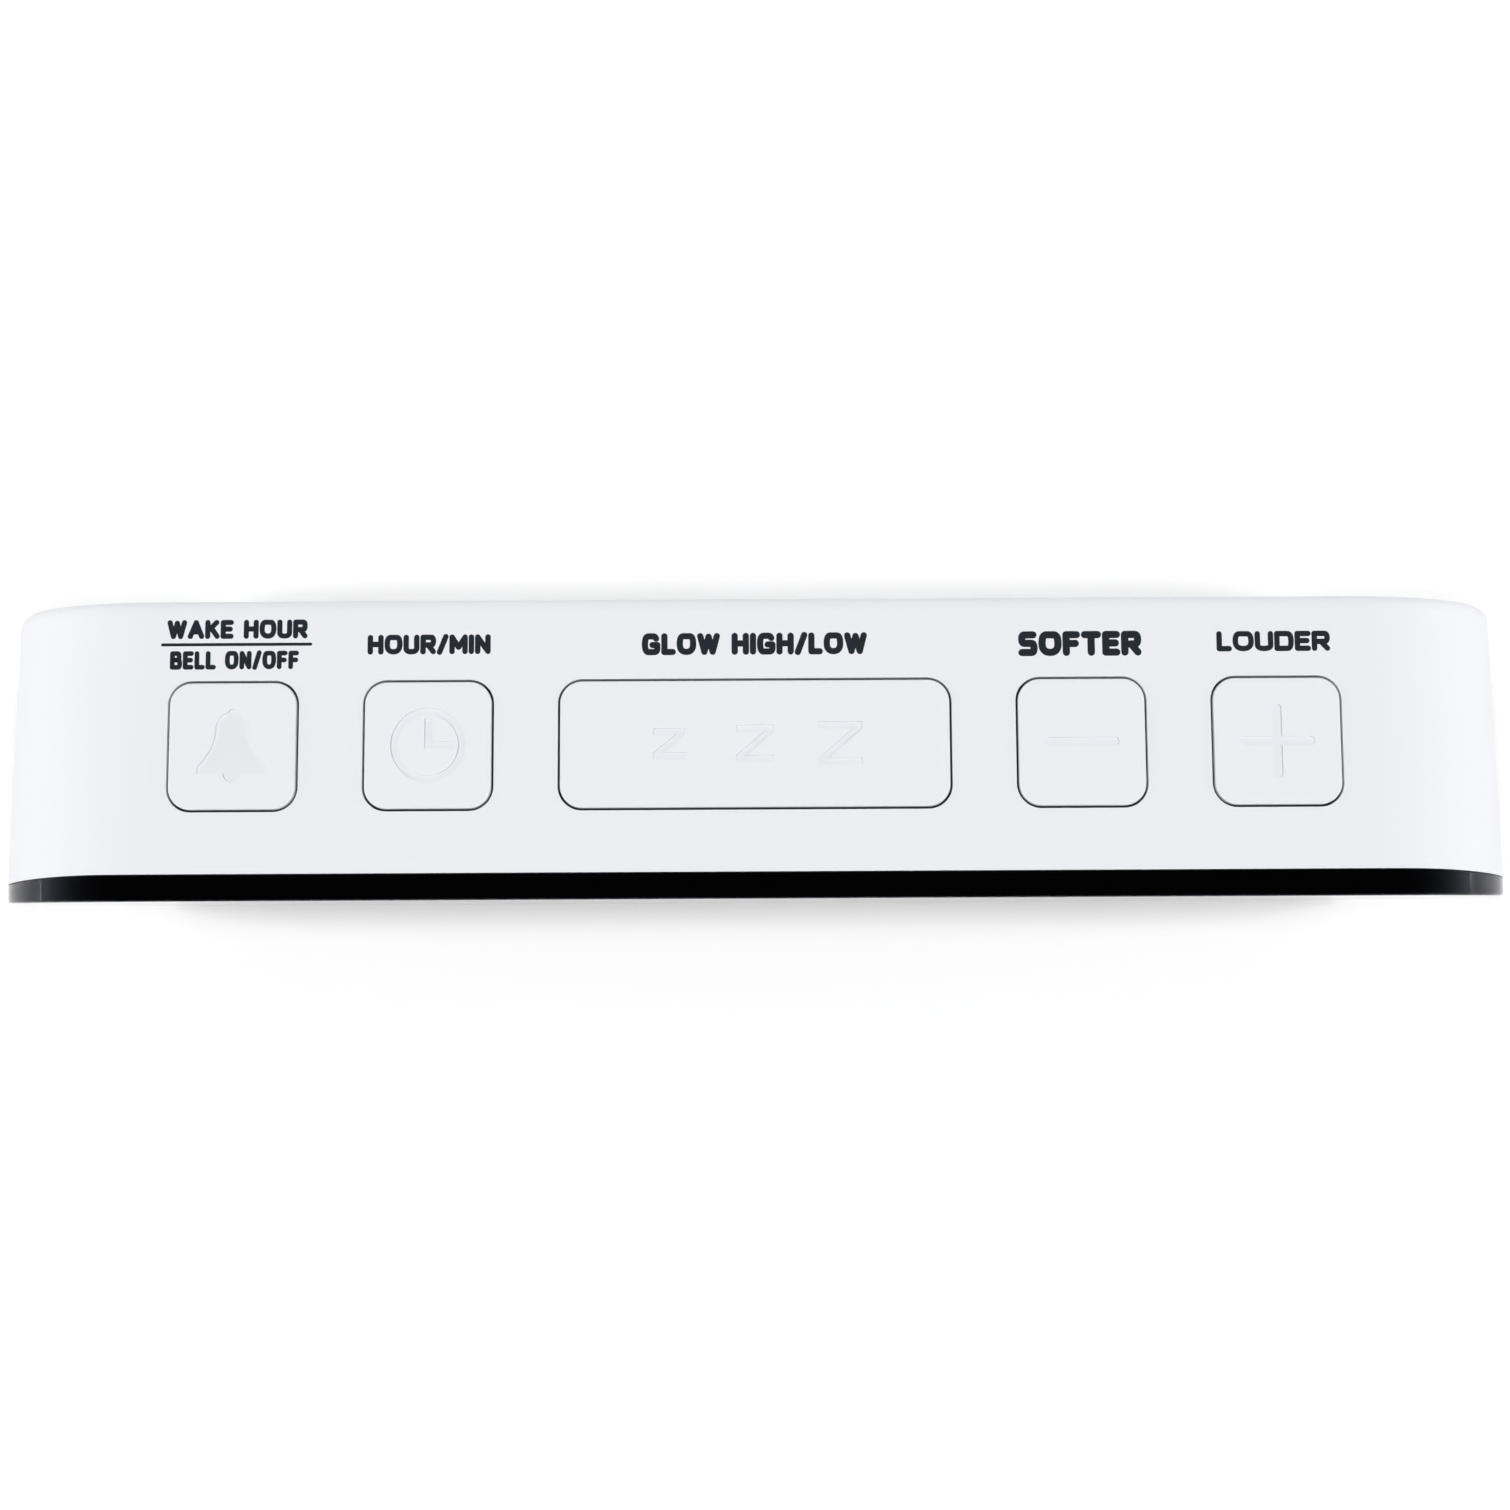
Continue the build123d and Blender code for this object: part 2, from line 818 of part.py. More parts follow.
def make_key(name):
    """Key cap: a hollow pad through the top, held in by its flange, with a post on each switch."""
    pad = Pos(0, 0, -wall) * extrude(key_plan(name, 0), wall + key_proud)
    pad = fillet(pad.edges().group_by(Axis.Z)[-1], key_edge_round)
    flange_low = -wall - key_flange_thickness
    cap = pad + Pos(0, 0, flange_low) * extrude(key_plan(name, key_gap + key_flange), key_flange_thickness)
    ceiling = key_proud - key_skin
    cap -= Pos(0, 0, flange_low) * extrude(key_plan(name, -key_skin), ceiling - flange_low)
    for x in switch_places(name):
        cap += rod_z(x, 0, (-plunger_top_depth, ceiling + key_skin / 2), key_post_radius)
    icon = extrude(key_icons[name](), icon_depth + overrun)
    cap -= Pos(0, 0, key_proud - icon_depth) * icon
    return on_top(key_places[name], cap)


def make_plungers(name):
    """Moving button of each switch under a key."""
    bottom = -key_board_depth + switch_height - plunger_seat
    plungers = [rod_z(x, 0, (bottom, -plunger_top_depth), plunger_radius) for x in switch_places(name)]
    return joined([on_top(key_places[name], plunger) for plunger in plungers])


def make_switch_bodies():
    """Fixed housings of the push switches."""
    bodies = []
    top = -key_board_depth + switch_height
    well_bottom = top - plunger_seat - plunger_room
    for name, key_x in key_places.items():
        for x in switch_places(name):
            body = block(span(x, switch_side), span(0, switch_side), (-key_board_depth, top))
            body -= rod_z(x, 0, (well_bottom, top + overrun), plunger_radius + plunger_gap)
            bodies.append(on_top(key_x, body))
    return joined(bodies)


def make_key_board():
    """Narrow board under the keys, screwed up to the case."""
    half_length = outer_key_x + key_width / 2 + key_board_end
    z_span = (-key_board_depth - key_board_thickness, -key_board_depth)
    board = block((-half_length, half_length), (-key_board_front, key_board_rear), z_span)
    for x in key_boss_places:
        through = (z_span[0] - overrun, z_span[1] + overrun)
        board -= rod_z(x, key_boss_y, through, small_hole_radius)
    return on_top(0, board)


def make_key_board_screws():
    """Screws driven up through the key board into the case."""
    fixing = screw(small_head_radius, small_head_height, small_pilot_radius, small_shank)
    seat = -key_board_depth - key_board_thickness
    return joined([on_top(x, Pos(0, key_boss_y, seat) * Rot(180, 0, 0) * fixing) for x in key_boss_places])


def make_key_ribbon():
    """Flat ribbon from under the key board to the back of the main board."""
    start = top_plane.from_local_coords(Vector(0, ribbon_back, -key_board_depth - key_board_thickness))
    down = -top_plane.z_dir
    corner = start + down * ribbon_drop
    end = Vector(0, board_rear_y, corner.Z)
    path = FilletPolyline(start, corner, end, radius=ribbon_bend)
    section = Plane(origin=start, x_dir=(1, 0, 0), z_dir=down) * Rectangle(ribbon_width, ribbon_thickness)
    return Pos(clear_x - ribbon_shift, 0, 0) * sweep(section, path)


def make_back_cover():
    """Cover with screw wells, battery box, speaker slots and seat, and the socket's cradle."""
    cover = case_block(cover_inner_y, cover_outer_y, wall + cover_gap)
    for x, z in cover_screw_places():
        cover += rod_y(x, z, (boss_top_y, cover_inner_y + cover_thickness / 2), well_radius + well_wall)
    cover += battery_box()
    cover += speaker_seat_ring()
    cover += socket_cradle()
    for x, z in cover_screw_places():
        cover -= rod_y(x, z, (well_floor_y, cover_outer_y + overrun), well_radius)
        cover -= rod_y(x, z, (boss_top_y - overrun, well_floor_y + overrun), cover_hole_radius)
    cover -= battery_hollow()
    for x in speaker_slot_places():
        length = 2 * math.sqrt(slot_field_radius**2 - x**2)
        slot = Rot(0, 0, 90) * SlotOverall(length, slot_width)
        plane = facing_front(cover_outer_y + overrun, speaker_z, speaker_x + x)
        cover -= extrude(plane * slot, cover_thickness + 2 * overrun)
    for x, z in speaker_post_places():
        low_y = speaker_back_y
        cover -= rod_y(x, z, (low_y - overrun, low_y + speaker_pilot_depth), small_pilot_radius)
    nose_hole = socket_nose_radius + socket_nose_gap
    cover -= rod_y(socket_x, socket_z, (cover_inner_y - overrun, cover_outer_y + overrun), nose_hole)
    return cover


def battery_box():
    """Walls and floor round the cells, with an ear for each hinge pin of the door."""
    x_span = (tub_left_x - tub_wall, tub_right_x + tub_wall)
    z_span = (tub_low_z - tub_wall, tub_high_z + tub_wall)
    box = block(x_span, (tub_outer_y, cover_inner_y + cover_thickness / 2), z_span)
    ear_y = (axis_y - ear_half_height, cover_inner_y + cover_thickness / 2)
    for x_limits in (
        (opening_left_x - ear_length, opening_left_x),
        (opening_right_x, opening_right_x + ear_length),
    ):
        box += block(x_limits, ear_y, span(axis_z, 2 * ear_half_height))
    return box


def battery_hollow():
    """Room for the cells, the door's opening, its pin holes and the holes for the contact tails."""
    x_span = (tub_left_x, tub_right_x)
    hollow = block(x_span, (tub_floor_y, cover_outer_y + overrun), (tub_low_z, tub_high_z))
    ledge_y = cover_outer_y - door_thickness - ledge_gap
    opening_x = (opening_left_x, opening_right_x)
    hollow += block(opening_x, (ledge_y, cover_outer_y + overrun), (tub_low_z, opening_high_z))
    pin_hole = pin_reach + door_gap
    hole_x = (opening_left_x - pin_hole, opening_right_x + pin_hole)
    hollow += rod_x(axis_y, axis_z, hole_x, pin_radius + pin_gap)
    swing = door_axis_depth + door_gap
    hollow += rod_x(axis_y, axis_z, opening_x, swing)
    tail_span = (tub_left_x - tub_wall - overrun, tub_left_x + overrun)
    for index in range(cell_count):
        hollow += rod_x(cell_y, cell_z(index), tail_span, tail_radius + tail_gap)
    return hollow


def cell_z(index):
    """Height of a cell's axis, counted from the lowest."""
    return tub_low_z + cell_gap + cell_radius + index * cell_pitch


def points_right(index):
    """True for a cell whose plus end is on the right."""
    return index % 2 == 0


def make_battery_cells():
    """Slim round cells, turned end for end in turn."""
    cells = []
    for index in range(cell_count):
        can = Cylinder(cell_radius, cell_length)
        can = fillet(can.edges(), cell_edge_round)
        nub = Pos(0, 0, cell_length / 2) * Cylinder(
            nub_radius, nub_length, align=(Align.CENTER, Align.CENTER, Align.MIN)
        )
        turn = 90 if points_right(index) else -90
        plus_end = contact_thickness + contact_bump + nub_length
        centre = tub_right_x - plus_end - cell_length / 2
        if not points_right(index):
            centre = tub_left_x + plus_end + cell_length / 2
        cells.append(Pos(centre, cell_y, cell_z(index)) * Rot(0, turn, 0) * (can + nub))
    return joined(cells)


def make_battery_contacts():
    """A plate with a tail for each cell on the left, and one plate that links the cells on the right."""
    y_span = span(cell_y, contact_width)
    left_span = (tub_left_x, tub_left_x + contact_thickness)
    right_span = (tub_right_x - contact_thickness, tub_right_x)
    link_z = (cell_z(0) - contact_height / 2, cell_z(cell_count - 1) + contact_height / 2)
    link = block(right_span, y_span, link_z)
    plates = []
    for index in range(cell_count):
        z = cell_z(index)
        plate = block(left_span, y_span, span(z, contact_height))
        plate += rod_x(cell_y, z, (tail_end_x, tub_left_x), tail_radius)
        if points_right(index):
            bump_span = (right_span[0] - contact_bump, right_span[0])
            link += rod_x(cell_y, z, bump_span, contact_bump_radius)
        else:
            bump_span = (left_span[1], left_span[1] + contact_bump)
            plate += rod_x(cell_y, z, bump_span, contact_bump_radius)
        plates.append(plate)
    return joined(plates + [link])


def make_battery_springs():
    """Bowed leaves that press on the minus end of each cell."""
    tip = spring_reach
    inner_tip = spring_reach - contact_thickness
    inner_half = spring_half_span - contact_thickness
    half = spring_half_span
    bow = make_face(
        [
            ThreePointArc((0, -half), (tip, 0), (0, half)),
            Line((0, half), (0, inner_half)),
            ThreePointArc((0, inner_half), (inner_tip, 0), (0, -inner_half)),
            Line((0, -inner_half), (0, -half)),
        ]
    )
    springs = []
    for index in range(cell_count):
        side = 1 if points_right(index) else -1
        face_x = tub_left_x + contact_thickness if side > 0 else tub_right_x - contact_thickness
        plane = Plane(origin=(face_x, cell_y, cell_z(index)), x_dir=(side, 0, 0), z_dir=(0, -side, 0))
        springs.append(extrude(plane * bow, spring_width / 2, both=True))
    return joined(springs)


def make_battery_door():
    """Flat door with a round hinge edge, two pins and grip ridges near its free edge."""
    left = opening_left_x + door_gap
    right = opening_right_x - door_gap
    high = opening_high_z - door_gap
    door = block((left, right), (cover_outer_y - door_thickness, cover_outer_y), (axis_z, high))
    door += rod_x(axis_y, axis_z, (left, right), barrel_radius)
    door += rod_x(axis_y, axis_z, (left - door_gap - pin_reach, right + door_gap + pin_reach), pin_radius)
    middle_x = (left + right) / 2
    for index in range(grip_count):
        z = high - grip_drop - index * grip_pitch
        y_span = (cover_outer_y - grip_depth, cover_outer_y + overrun)
        door -= block(span(middle_x, grip_length), y_span, span(z, grip_width))
    return door


def speaker_slot_places():
    """Sideways places of the sound slots, from the speaker's middle."""
    return [(index - (slot_count - 1) / 2) * slot_pitch for index in range(slot_count)]


def speaker_post_places():
    """Where the posts stand round the speaker's rim."""
    radius = speaker_radius + speaker_post_gap + speaker_post_radius
    angles = [math.radians(90 + index * 360 / speaker_post_count) for index in range(speaker_post_count)]
    return [(speaker_x + radius * math.cos(a), speaker_z + radius * math.sin(a)) for a in angles]


def speaker_seat_ring():
    """Raised ring that the speaker's rim rests on, and the posts round it."""
    y_span = (speaker_seat_y, cover_inner_y + cover_thickness / 2)
    ring = rod_y(speaker_x, speaker_z, y_span, speaker_radius)
    hollow_span = (speaker_seat_y - overrun, cover_inner_y)
    ring -= rod_y(speaker_x, speaker_z, hollow_span, speaker_radius - speaker_lip)
    for x, z in speaker_post_places():
        ring += rod_y(x, z, (speaker_back_y, cover_inner_y + cover_thickness / 2), speaker_post_radius)
    return ring


def speaker_turned(points):
    """Solid of revolution on the speaker's axis: radius and distance ahead of the seat."""
    plane = Plane(origin=(speaker_x, speaker_seat_y, speaker_z), x_dir=(1, 0, 0), z_dir=(0, 0, 1))
    profile = plane * make_face(Polyline(*[(radius, -ahead) for radius, ahead in points], close=True))
    return revolve(profile, Axis((speaker_x, speaker_seat_y, speaker_z), (0, 1, 0)))


def make_speaker_frame():
    """Pressed steel basket with a flat rim."""
    lip_radius = speaker_radius - speaker_lip
    return speaker_turned(
        [
            (speaker_radius, 0),
            (speaker_radius, speaker_rim),
            (lip_radius, speaker_rim),
            (basket_floor_radius, basket_height),
            (0, basket_height),
            (0, basket_height - basket_skin),
            (basket_floor_radius - basket_skin, basket_height - basket_skin),
            (lip_radius - basket_skin, 0),
        ]
    )


def make_speaker_magnet():
    """Round magnet on the back of the basket."""
    y_span = (basket_back_y - magnet_height, basket_back_y)
    return rod_y(speaker_x, speaker_z, y_span, magnet_radius)


def make_speaker_cone():
    """Thin paper cone with a domed cap in its middle."""
    mouth = speaker_radius - speaker_lip - basket_skin
    floor = basket_floor_radius - basket_skin
    narrowing_share = cone_skin / (basket_height - basket_skin)
    rim = mouth - (mouth - floor) * narrowing_share - cone_gap
    cone = speaker_turned(
        [
            (rim, 0),
            (rim, cone_skin),
            (cone_apex_radius, cone_depth + cone_skin),
            (0, cone_depth + cone_skin),
            (0, cone_depth),
            (cone_apex_radius, cone_depth),
        ]
    )
    seat = Pos(speaker_x, speaker_seat_y - cone_depth, speaker_z)
    cap_radius = (cone_apex_radius**2 + dust_cap_height**2) / (2 * dust_cap_height)
    ball = Pos(0, dust_cap_height - cap_radius, 0) * Sphere(cap_radius)
    cap = ball & rod_y(0, 0, (0, 2 * dust_cap_height), cone_apex_radius)
    return cone + seat * cap


def make_voice_coil():
    """Winding on the narrow end of the cone."""
    low = speaker_seat_y - basket_height + basket_skin + coil_gap
    high = speaker_seat_y - cone_depth - cone_skin
    coil = rod_y(speaker_x, speaker_z, (low, high), coil_outer_radius)
    return coil - rod_y(speaker_x, speaker_z, (low - overrun, high + overrun), coil_inner_radius)


def make_speaker_screws():
    """Wide-headed screws that clamp the speaker's rim."""
    fixing = screw(speaker_head_radius, speaker_head_height, small_pilot_radius, speaker_shank)
    return joined([Pos(x, speaker_back_y, z) * Rot(90, 0, 0) * fixing for x, z in speaker_post_places()])


def socket_cradle():
    """Two ribs that hold the power socket from both sides."""
    half = socket_width / 2 + cradle_gap
    ribs = Part()
    for side in (-1, 1):
        inner = socket_x + side * half
        x_span = sorted((inner, inner + side * cradle_wall))
        y_span = (cover_inner_y - cradle_depth, cover_inner_y + cover_thickness / 2)
        ribs += block(x_span, y_span, span(socket_z, socket_height))
    return ribs


def make_power_socket():
    """Socket block with a round nose through the cover and a bore for the plug."""
    y_span = (socket_front_y, cover_inner_y)
    body = block(span(socket_x, socket_width), y_span, span(socket_z, socket_height))
    nose_end = cover_outer_y - socket_nose_setback
    body += rod_y(socket_x, socket_z, (cover_inner_y, nose_end), socket_nose_radius)
    bore_span = (nose_end - socket_bore_depth, nose_end + overrun)
    return body - rod_y(socket_x, socket_z, bore_span, socket_bore_radius)


def make_socket_pin():
    """Centre contact at the bottom of the socket's bore."""
    low = cover_outer_y - socket_nose_setback - socket_bore_depth
    pin = rod_y(socket_x, socket_z, (low, low + socket_pin_length), socket_pin_radius)
    return fillet(pin.edges().group_by(Axis.Y)[-1], socket_pin_radius / 2)


def lead(points):
    """One insulated lead along straight runs joined by arcs."""
    vectors = [Vector(*point) for point in points]
    radii = []
    for before, corner, after in zip(vectors, vectors[1:], vectors[2:]):
        turn = math.radians((corner - before).get_angle(after - corner))
        shorter = min((corner - before).length, (after - corner).length)
        radii.append(lead_bend_share * shorter / math.tan(turn / 2))
    path = FilletPolyline(*vectors, radius=radii)
    section = Plane(origin=vectors[0], z_dir=vectors[1] - vectors[0]) * Circle(lead_radius)
    return sweep(section, path)


def make_battery_leads():
    """Lead from each contact's tail to the main board."""
    end_x = tail_end_x - battery_lead_shift
    leads = []
    for index in range(cell_count):
        z = cell_z(index)
        leads.append(lead([(tail_end_x, cell_y, z), (end_x, cell_y, z), (end_x, board_rear_y, z)]))
    return joined(leads)


def make_speaker_leads():
    """Pair of leads from the speaker's rim to the main board."""
    z = speaker_z - speaker_radius + speaker_lip / 2
    leads = []
    for side in (-1, 1):
        x = speaker_x + side * speaker_lead_pitch / 2
        low_z = z - speaker_lead_drop
        mid_y = (speaker_back_y + board_rear_y) / 2
        far_y = (mid_y + board_rear_y) / 2
        route = [(x, speaker_back_y, z), (x, mid_y, z), (x, far_y, low_z), (x, board_rear_y, low_z)]
        leads.append(lead(route))
    return joined(leads)


def make_power_leads():
    """Pair of leads from the side of the power socket, ahead of its cradle, to the main board."""
    x = socket_x + socket_width / 2
    y = (socket_front_y + cover_inner_y - cradle_depth) / 2
    end_x = x + power_lead_shift
    leads = []
    for side in (-1, 1):
        z = socket_z + side * power_lead_pitch / 2
        leads.append(lead([(x, y, z), (end_x, y, z), (end_x, board_rear_y, z)]))
    return joined(leads)


def make_all():
    """Every node of the clock by name."""
    nodes = {
        "case_shell": make_case_shell(),
        "rubber_feet": make_rubber_feet(),
        "front_lens": make_lens(),
        "lens_tape": make_lens_tape(),
        "display_reflector": make_display_reflector(),
        "display_leds": make_display_leds(),
        "main_board": make_main_board(),
        "board_screws": make_board_screws(),
        "controller_chip": make_controller_chip(),
        "quartz_crystal": make_quartz_crystal(),
        "smoothing_capacitors": make_smoothing_capacitors(),
        "driver_transistors": make_driver_transistors(),
        "chip_resistors": make_resistors(),
        "key_board": make_key_board(),
        "key_board_screws": make_key_board_screws(),
        "switch_bodies": make_switch_bodies(),
        "key_ribbon": make_key_ribbon(),
        "back_cover": make_back_cover(),
        "cover_screws": make_cover_screws(),
        "battery_door": make_battery_door(),
        "battery_cells": make_battery_cells(),
        "battery_contacts": make_battery_contacts(),
        "battery_springs": make_battery_springs(),
        "battery_leads": make_battery_leads(),
        "speaker_frame": make_speaker_frame(),
        "speaker_magnet": make_speaker_magnet(),
        "speaker_cone": make_speaker_cone(),
        "voice_coil": make_voice_coil(),
        "speaker_screws": make_speaker_screws(),
        "speaker_leads": make_speaker_leads(),
        "power_socket": make_power_socket(),
        "socket_pin": make_socket_pin(),
        "power_leads": make_power_leads(),
    }
    for name, shapes in display_cells().items():
        nodes[name] = make_lightpipes(shapes)
    for name in key_places:
        nodes[name + "_key"] = make_key(name)
        nodes[name + "_plunger"] = make_plungers(name)
    return nodes


os.makedirs("parts", exist_ok=True)
for node_name, node_shape in make_all().items():
    export_step(node_shape, os.path.join("parts", node_name + ".step"))
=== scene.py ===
"""Looks of the colour change alarm clock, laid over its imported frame. Lengths are in metres."""

import json
import math

import bmesh
import bpy
from mathutils import Matrix, Vector


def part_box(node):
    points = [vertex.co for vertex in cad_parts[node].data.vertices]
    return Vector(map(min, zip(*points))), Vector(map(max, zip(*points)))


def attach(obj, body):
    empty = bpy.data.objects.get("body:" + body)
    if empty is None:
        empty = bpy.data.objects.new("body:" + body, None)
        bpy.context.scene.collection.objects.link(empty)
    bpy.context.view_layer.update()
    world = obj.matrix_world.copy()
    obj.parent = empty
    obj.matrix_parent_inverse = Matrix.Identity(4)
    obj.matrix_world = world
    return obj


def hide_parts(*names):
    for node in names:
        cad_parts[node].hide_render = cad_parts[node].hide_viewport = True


bl_info = {
    "name": "Colour Change Alarm Clock",
    "version": (1, 0, 0),
    "blender": (4, 5, 0),
    "location": "View3D > Sidebar > Clock",
    "description": "Finishes, printed words, lit figures and stage of a bedside alarm clock",
    "category": "Object",
}

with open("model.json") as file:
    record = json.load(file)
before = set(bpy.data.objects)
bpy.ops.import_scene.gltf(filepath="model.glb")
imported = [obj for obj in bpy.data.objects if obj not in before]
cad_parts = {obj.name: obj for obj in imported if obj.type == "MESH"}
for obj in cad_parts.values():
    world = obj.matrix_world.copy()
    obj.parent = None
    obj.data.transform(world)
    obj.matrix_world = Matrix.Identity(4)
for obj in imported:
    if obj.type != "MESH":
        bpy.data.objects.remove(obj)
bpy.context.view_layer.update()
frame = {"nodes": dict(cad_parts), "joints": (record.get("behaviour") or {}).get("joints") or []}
MM = 0.001

# Gap between the lens and the case, the keys' middle line behind the seam, and how far the keys stand proud
LENS_GAP = 0.12 * MM
KEY_ROW = 13.2 * MM
KEY_PROUD = 0.3 * MM

# Places read from the frame, and the directions square to the sloping top and back along it
LENS_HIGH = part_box("front_lens")[1]
CASE_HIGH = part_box("case_shell")[1]
DOOR_LOW, DOOR_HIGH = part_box("battery_door")
SOCKET_LOW, SOCKET_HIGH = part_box("power_socket")
CELLS_LOW, CELLS_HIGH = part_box("battery_cells")
SEAM_Y = LENS_HIGH.y + LENS_GAP
PRESS = next(joint for joint in frame["joints"] if joint["name"] == "snooze_press")
TOP_NORMAL = -Vector(PRESS["axis"])
TOP_BACK = Vector((0.0, TOP_NORMAL.z, -TOP_NORMAL.y))

# Bars of a seven-bar figure: a is the top one, b to f run clockwise from it, and g is the middle one
LIT_BARS = {
    "0": "abcdef",
    "1": "bc",
    "2": "abged",
    "3": "abgcd",
    "4": "fgbc",
    "5": "afgcd",
    "6": "afgedc",
    "7": "abc",
    "8": "abcdefg",
    "9": "abcdfg",
}
FIGURE_NODES = ("hour_tens_segments", "hour_ones_segments", "minute_tens_segments", "minute_ones_segments")

# Letters as pen strokes, in shares of the letter's height: width, straight strokes, curved strokes
LETTERS = {
    "A": (0.72, [[(0, 0), (0.36, 1)], [(0.36, 1), (0.72, 0)], [(0.14, 0.33), (0.58, 0.33)]], []),
    "B": (
        0.6,
        [[(0, 0), (0, 1)]],
        [
            [(0, 1), (0.34, 1), (0.56, 1), (0.56, 0.53), (0.34, 0.53), (0, 0.53)],
            [(0, 0.53), (0.36, 0.53), (0.62, 0.53), (0.62, 0), (0.36, 0), (0, 0)],
        ],
    ),
    "D": (0.66, [[(0, 0), (0, 1)]], [[(0, 1), (0.32, 1), (0.66, 1), (0.66, 0), (0.32, 0), (0, 0)]]),
    "E": (0.5, [[(0, 0), (0, 1)], [(0, 1), (0.5, 1)], [(0, 0.52), (0.44, 0.52)], [(0, 0), (0.5, 0)]], []),
    "F": (0.48, [[(0, 0), (0, 1)], [(0, 1), (0.48, 1)], [(0, 0.5), (0.42, 0.5)]], []),
    "G": (
        0.68,
        [[(0.42, 0.45), (0.68, 0.45)]],
        [[(0.62, 0.86), (0.54, 1), (0.36, 1), (0, 1), (0, 0), (0.36, 0), (0.68, 0), (0.68, 0.45)]],
    ),
    "H": (0.62, [[(0, 0), (0, 1)], [(0.62, 0), (0.62, 1)], [(0, 0.52), (0.62, 0.52)]], []),
    "I": (0.0, [[(0, 0), (0, 1)]], []),
    "K": (0.6, [[(0, 0), (0, 1)], [(0.04, 0.42), (0.56, 1)], [(0.22, 0.62), (0.6, 0)]], []),
    "L": (0.46, [[(0, 0), (0, 1)], [(0, 0), (0.46, 0)]], []),
    "M": (
        0.76,
        [[(0, 0), (0, 1)], [(0, 1), (0.38, 0.3)], [(0.38, 0.3), (0.76, 1)], [(0.76, 1), (0.76, 0)]],
        [],
    ),
    "N": (0.6, [[(0, 0), (0, 1)], [(0, 1), (0.6, 0)], [(0.6, 0), (0.6, 1)]], []),
    "O": (0.74, [], [[(0.37, 1), (0, 1), (0, 0), (0.74, 0), (0.74, 1), (0.37, 1)]]),
    "R": (
        0.6,
        [[(0, 0), (0, 1)], [(0.3, 0.46), (0.6, 0)]],
        [[(0, 1), (0.35, 1), (0.6, 1), (0.6, 0.46), (0.35, 0.46), (0, 0.46)]],
    ),
    "S": (
        0.56,
        [],
        [
            [(0.52, 1), (0.22, 1), (0, 1), (0, 0.52), (0.22, 0.52)]
            + [(0.34, 0.52), (0.56, 0.52), (0.56, 0), (0.34, 0), (0, 0)]
        ],
    ),
    "T": (0.6, [[(0, 1), (0.6, 1)], [(0.3, 1), (0.3, 0)]], []),
    "U": (0.62, [], [[(0, 1), (0, 0.5), (0, 0), (0.62, 0), (0.62, 0.5), (0.62, 1)]]),
    "W": (
        0.92,
        [[(0, 1), (0.23, 0)], [(0.23, 0), (0.46, 0.96)], [(0.46, 0.96), (0.69, 0)], [(0.69, 0), (0.92, 1)]],
        [],
    ),
    "/": (0.36, [[(0, -0.04), (0.36, 1.04)]], []),
    " ": (0.2, [], []),
}

# Stations of a stroke's round end, as shares of its reach
CAP_STATIONS = (0.99, 0.9, 0.7, 0.4)


def linear(hex_colour):
    """Linear red, green, blue and alpha of an sRGB hex colour."""
    shares = [int(hex_colour[place : place + 2], 16) / 255 for place in (1, 3, 5)]
    return [s / 12.92 if s <= 0.04045 else ((s + 0.055) / 1.055) ** 2.4 for s in shares] + [1.0]


def per(size_mm):
    """Texture scale that gives features of about this size in millimetres."""
    return 1.0 / (size_mm * MM)


def add(tree, kind, inputs=None, **settings):
    """Adds a node with its settings, and sets its inputs or links them to other nodes and sockets."""
    node = tree.nodes.new(kind)
    for name, value in settings.items():
        setattr(node, name, value)
    for key, value in (inputs or {}).items():
        if isinstance(value, bpy.types.Node):
            value = next(output for output in value.outputs if output.enabled)
        if isinstance(value, bpy.types.NodeSocket):
            tree.links.new(value, node.inputs[key])
        else:
            node.inputs[key].default_value = value
    return node


def begin(name):
    """A new material with an empty tree, and the piece's own coordinates in it."""
    material = bpy.data.materials.new(name)
    material.use_nodes = True
    tree = material.node_tree
    tree.nodes.clear()
    place = add(tree, "ShaderNodeTexCoord").outputs["Object"]
    return material, tree, place


def end(tree, surface, volume=None):
    """Joins a surface, and what fills it, to the material's output."""
    inputs = {"Surface": surface}
    if volume is not None:
        inputs["Volume"] = volume
    add(tree, "ShaderNodeOutputMaterial", inputs)


def moulded(name, pale, deep, cloud_mm, grain_mm, depth_mm, matt, painted_shade_layers=()):
    """Moulded plastic or rubber: a tone that drifts slowly, and a fine tool grain in gloss and relief.

    Each painted shade layer is a colour that takes over below a key's face, where shade falls in gaps and
    recesses, and the depth where it starts and is full."""
    material, tree, place = begin(name)
    cloud = add(tree, "ShaderNodeTexNoise", {"Vector": place, "Scale": per(cloud_mm), "Detail": 2.0})
    colour = add(tree, "ShaderNodeMix", {0: cloud, 6: deep, 7: pale}, data_type="RGBA")
    # Painted shade: each layer darkens the colour by depth below the key's face
    for below, start_mm, full_mm in painted_shade_layers:
        height = add(tree, "ShaderNodeVectorMath", {0: place, 1: TOP_NORMAL}, operation="DOT_PRODUCT")
        face = top_point(0.0, KEY_ROW).dot(TOP_NORMAL) + KEY_PROUD
        limits = {"From Min": face - full_mm * MM, "From Max": face - start_mm * MM}
        share = add(tree, "ShaderNodeMapRange", {"Value": height, **limits})
        colour = add(tree, "ShaderNodeMix", {0: share, 6: below, 7: colour}, data_type="RGBA")
    grain = add(tree, "ShaderNodeTexNoise", {"Vector": place, "Scale": per(grain_mm), "Detail": 3.0})
    gloss = add(tree, "ShaderNodeMapRange", {"Value": grain, "To Min": matt[0], "To Max": matt[1]})
    relief = add(tree, "ShaderNodeBump", {"Height": grain, "Distance": depth_mm * MM})
    look = {"Base Color": colour, "Roughness": gloss, "Normal": relief, "IOR": 1.53}
    end(tree, add(tree, "ShaderNodeBsdfPrincipled", look))
    return material


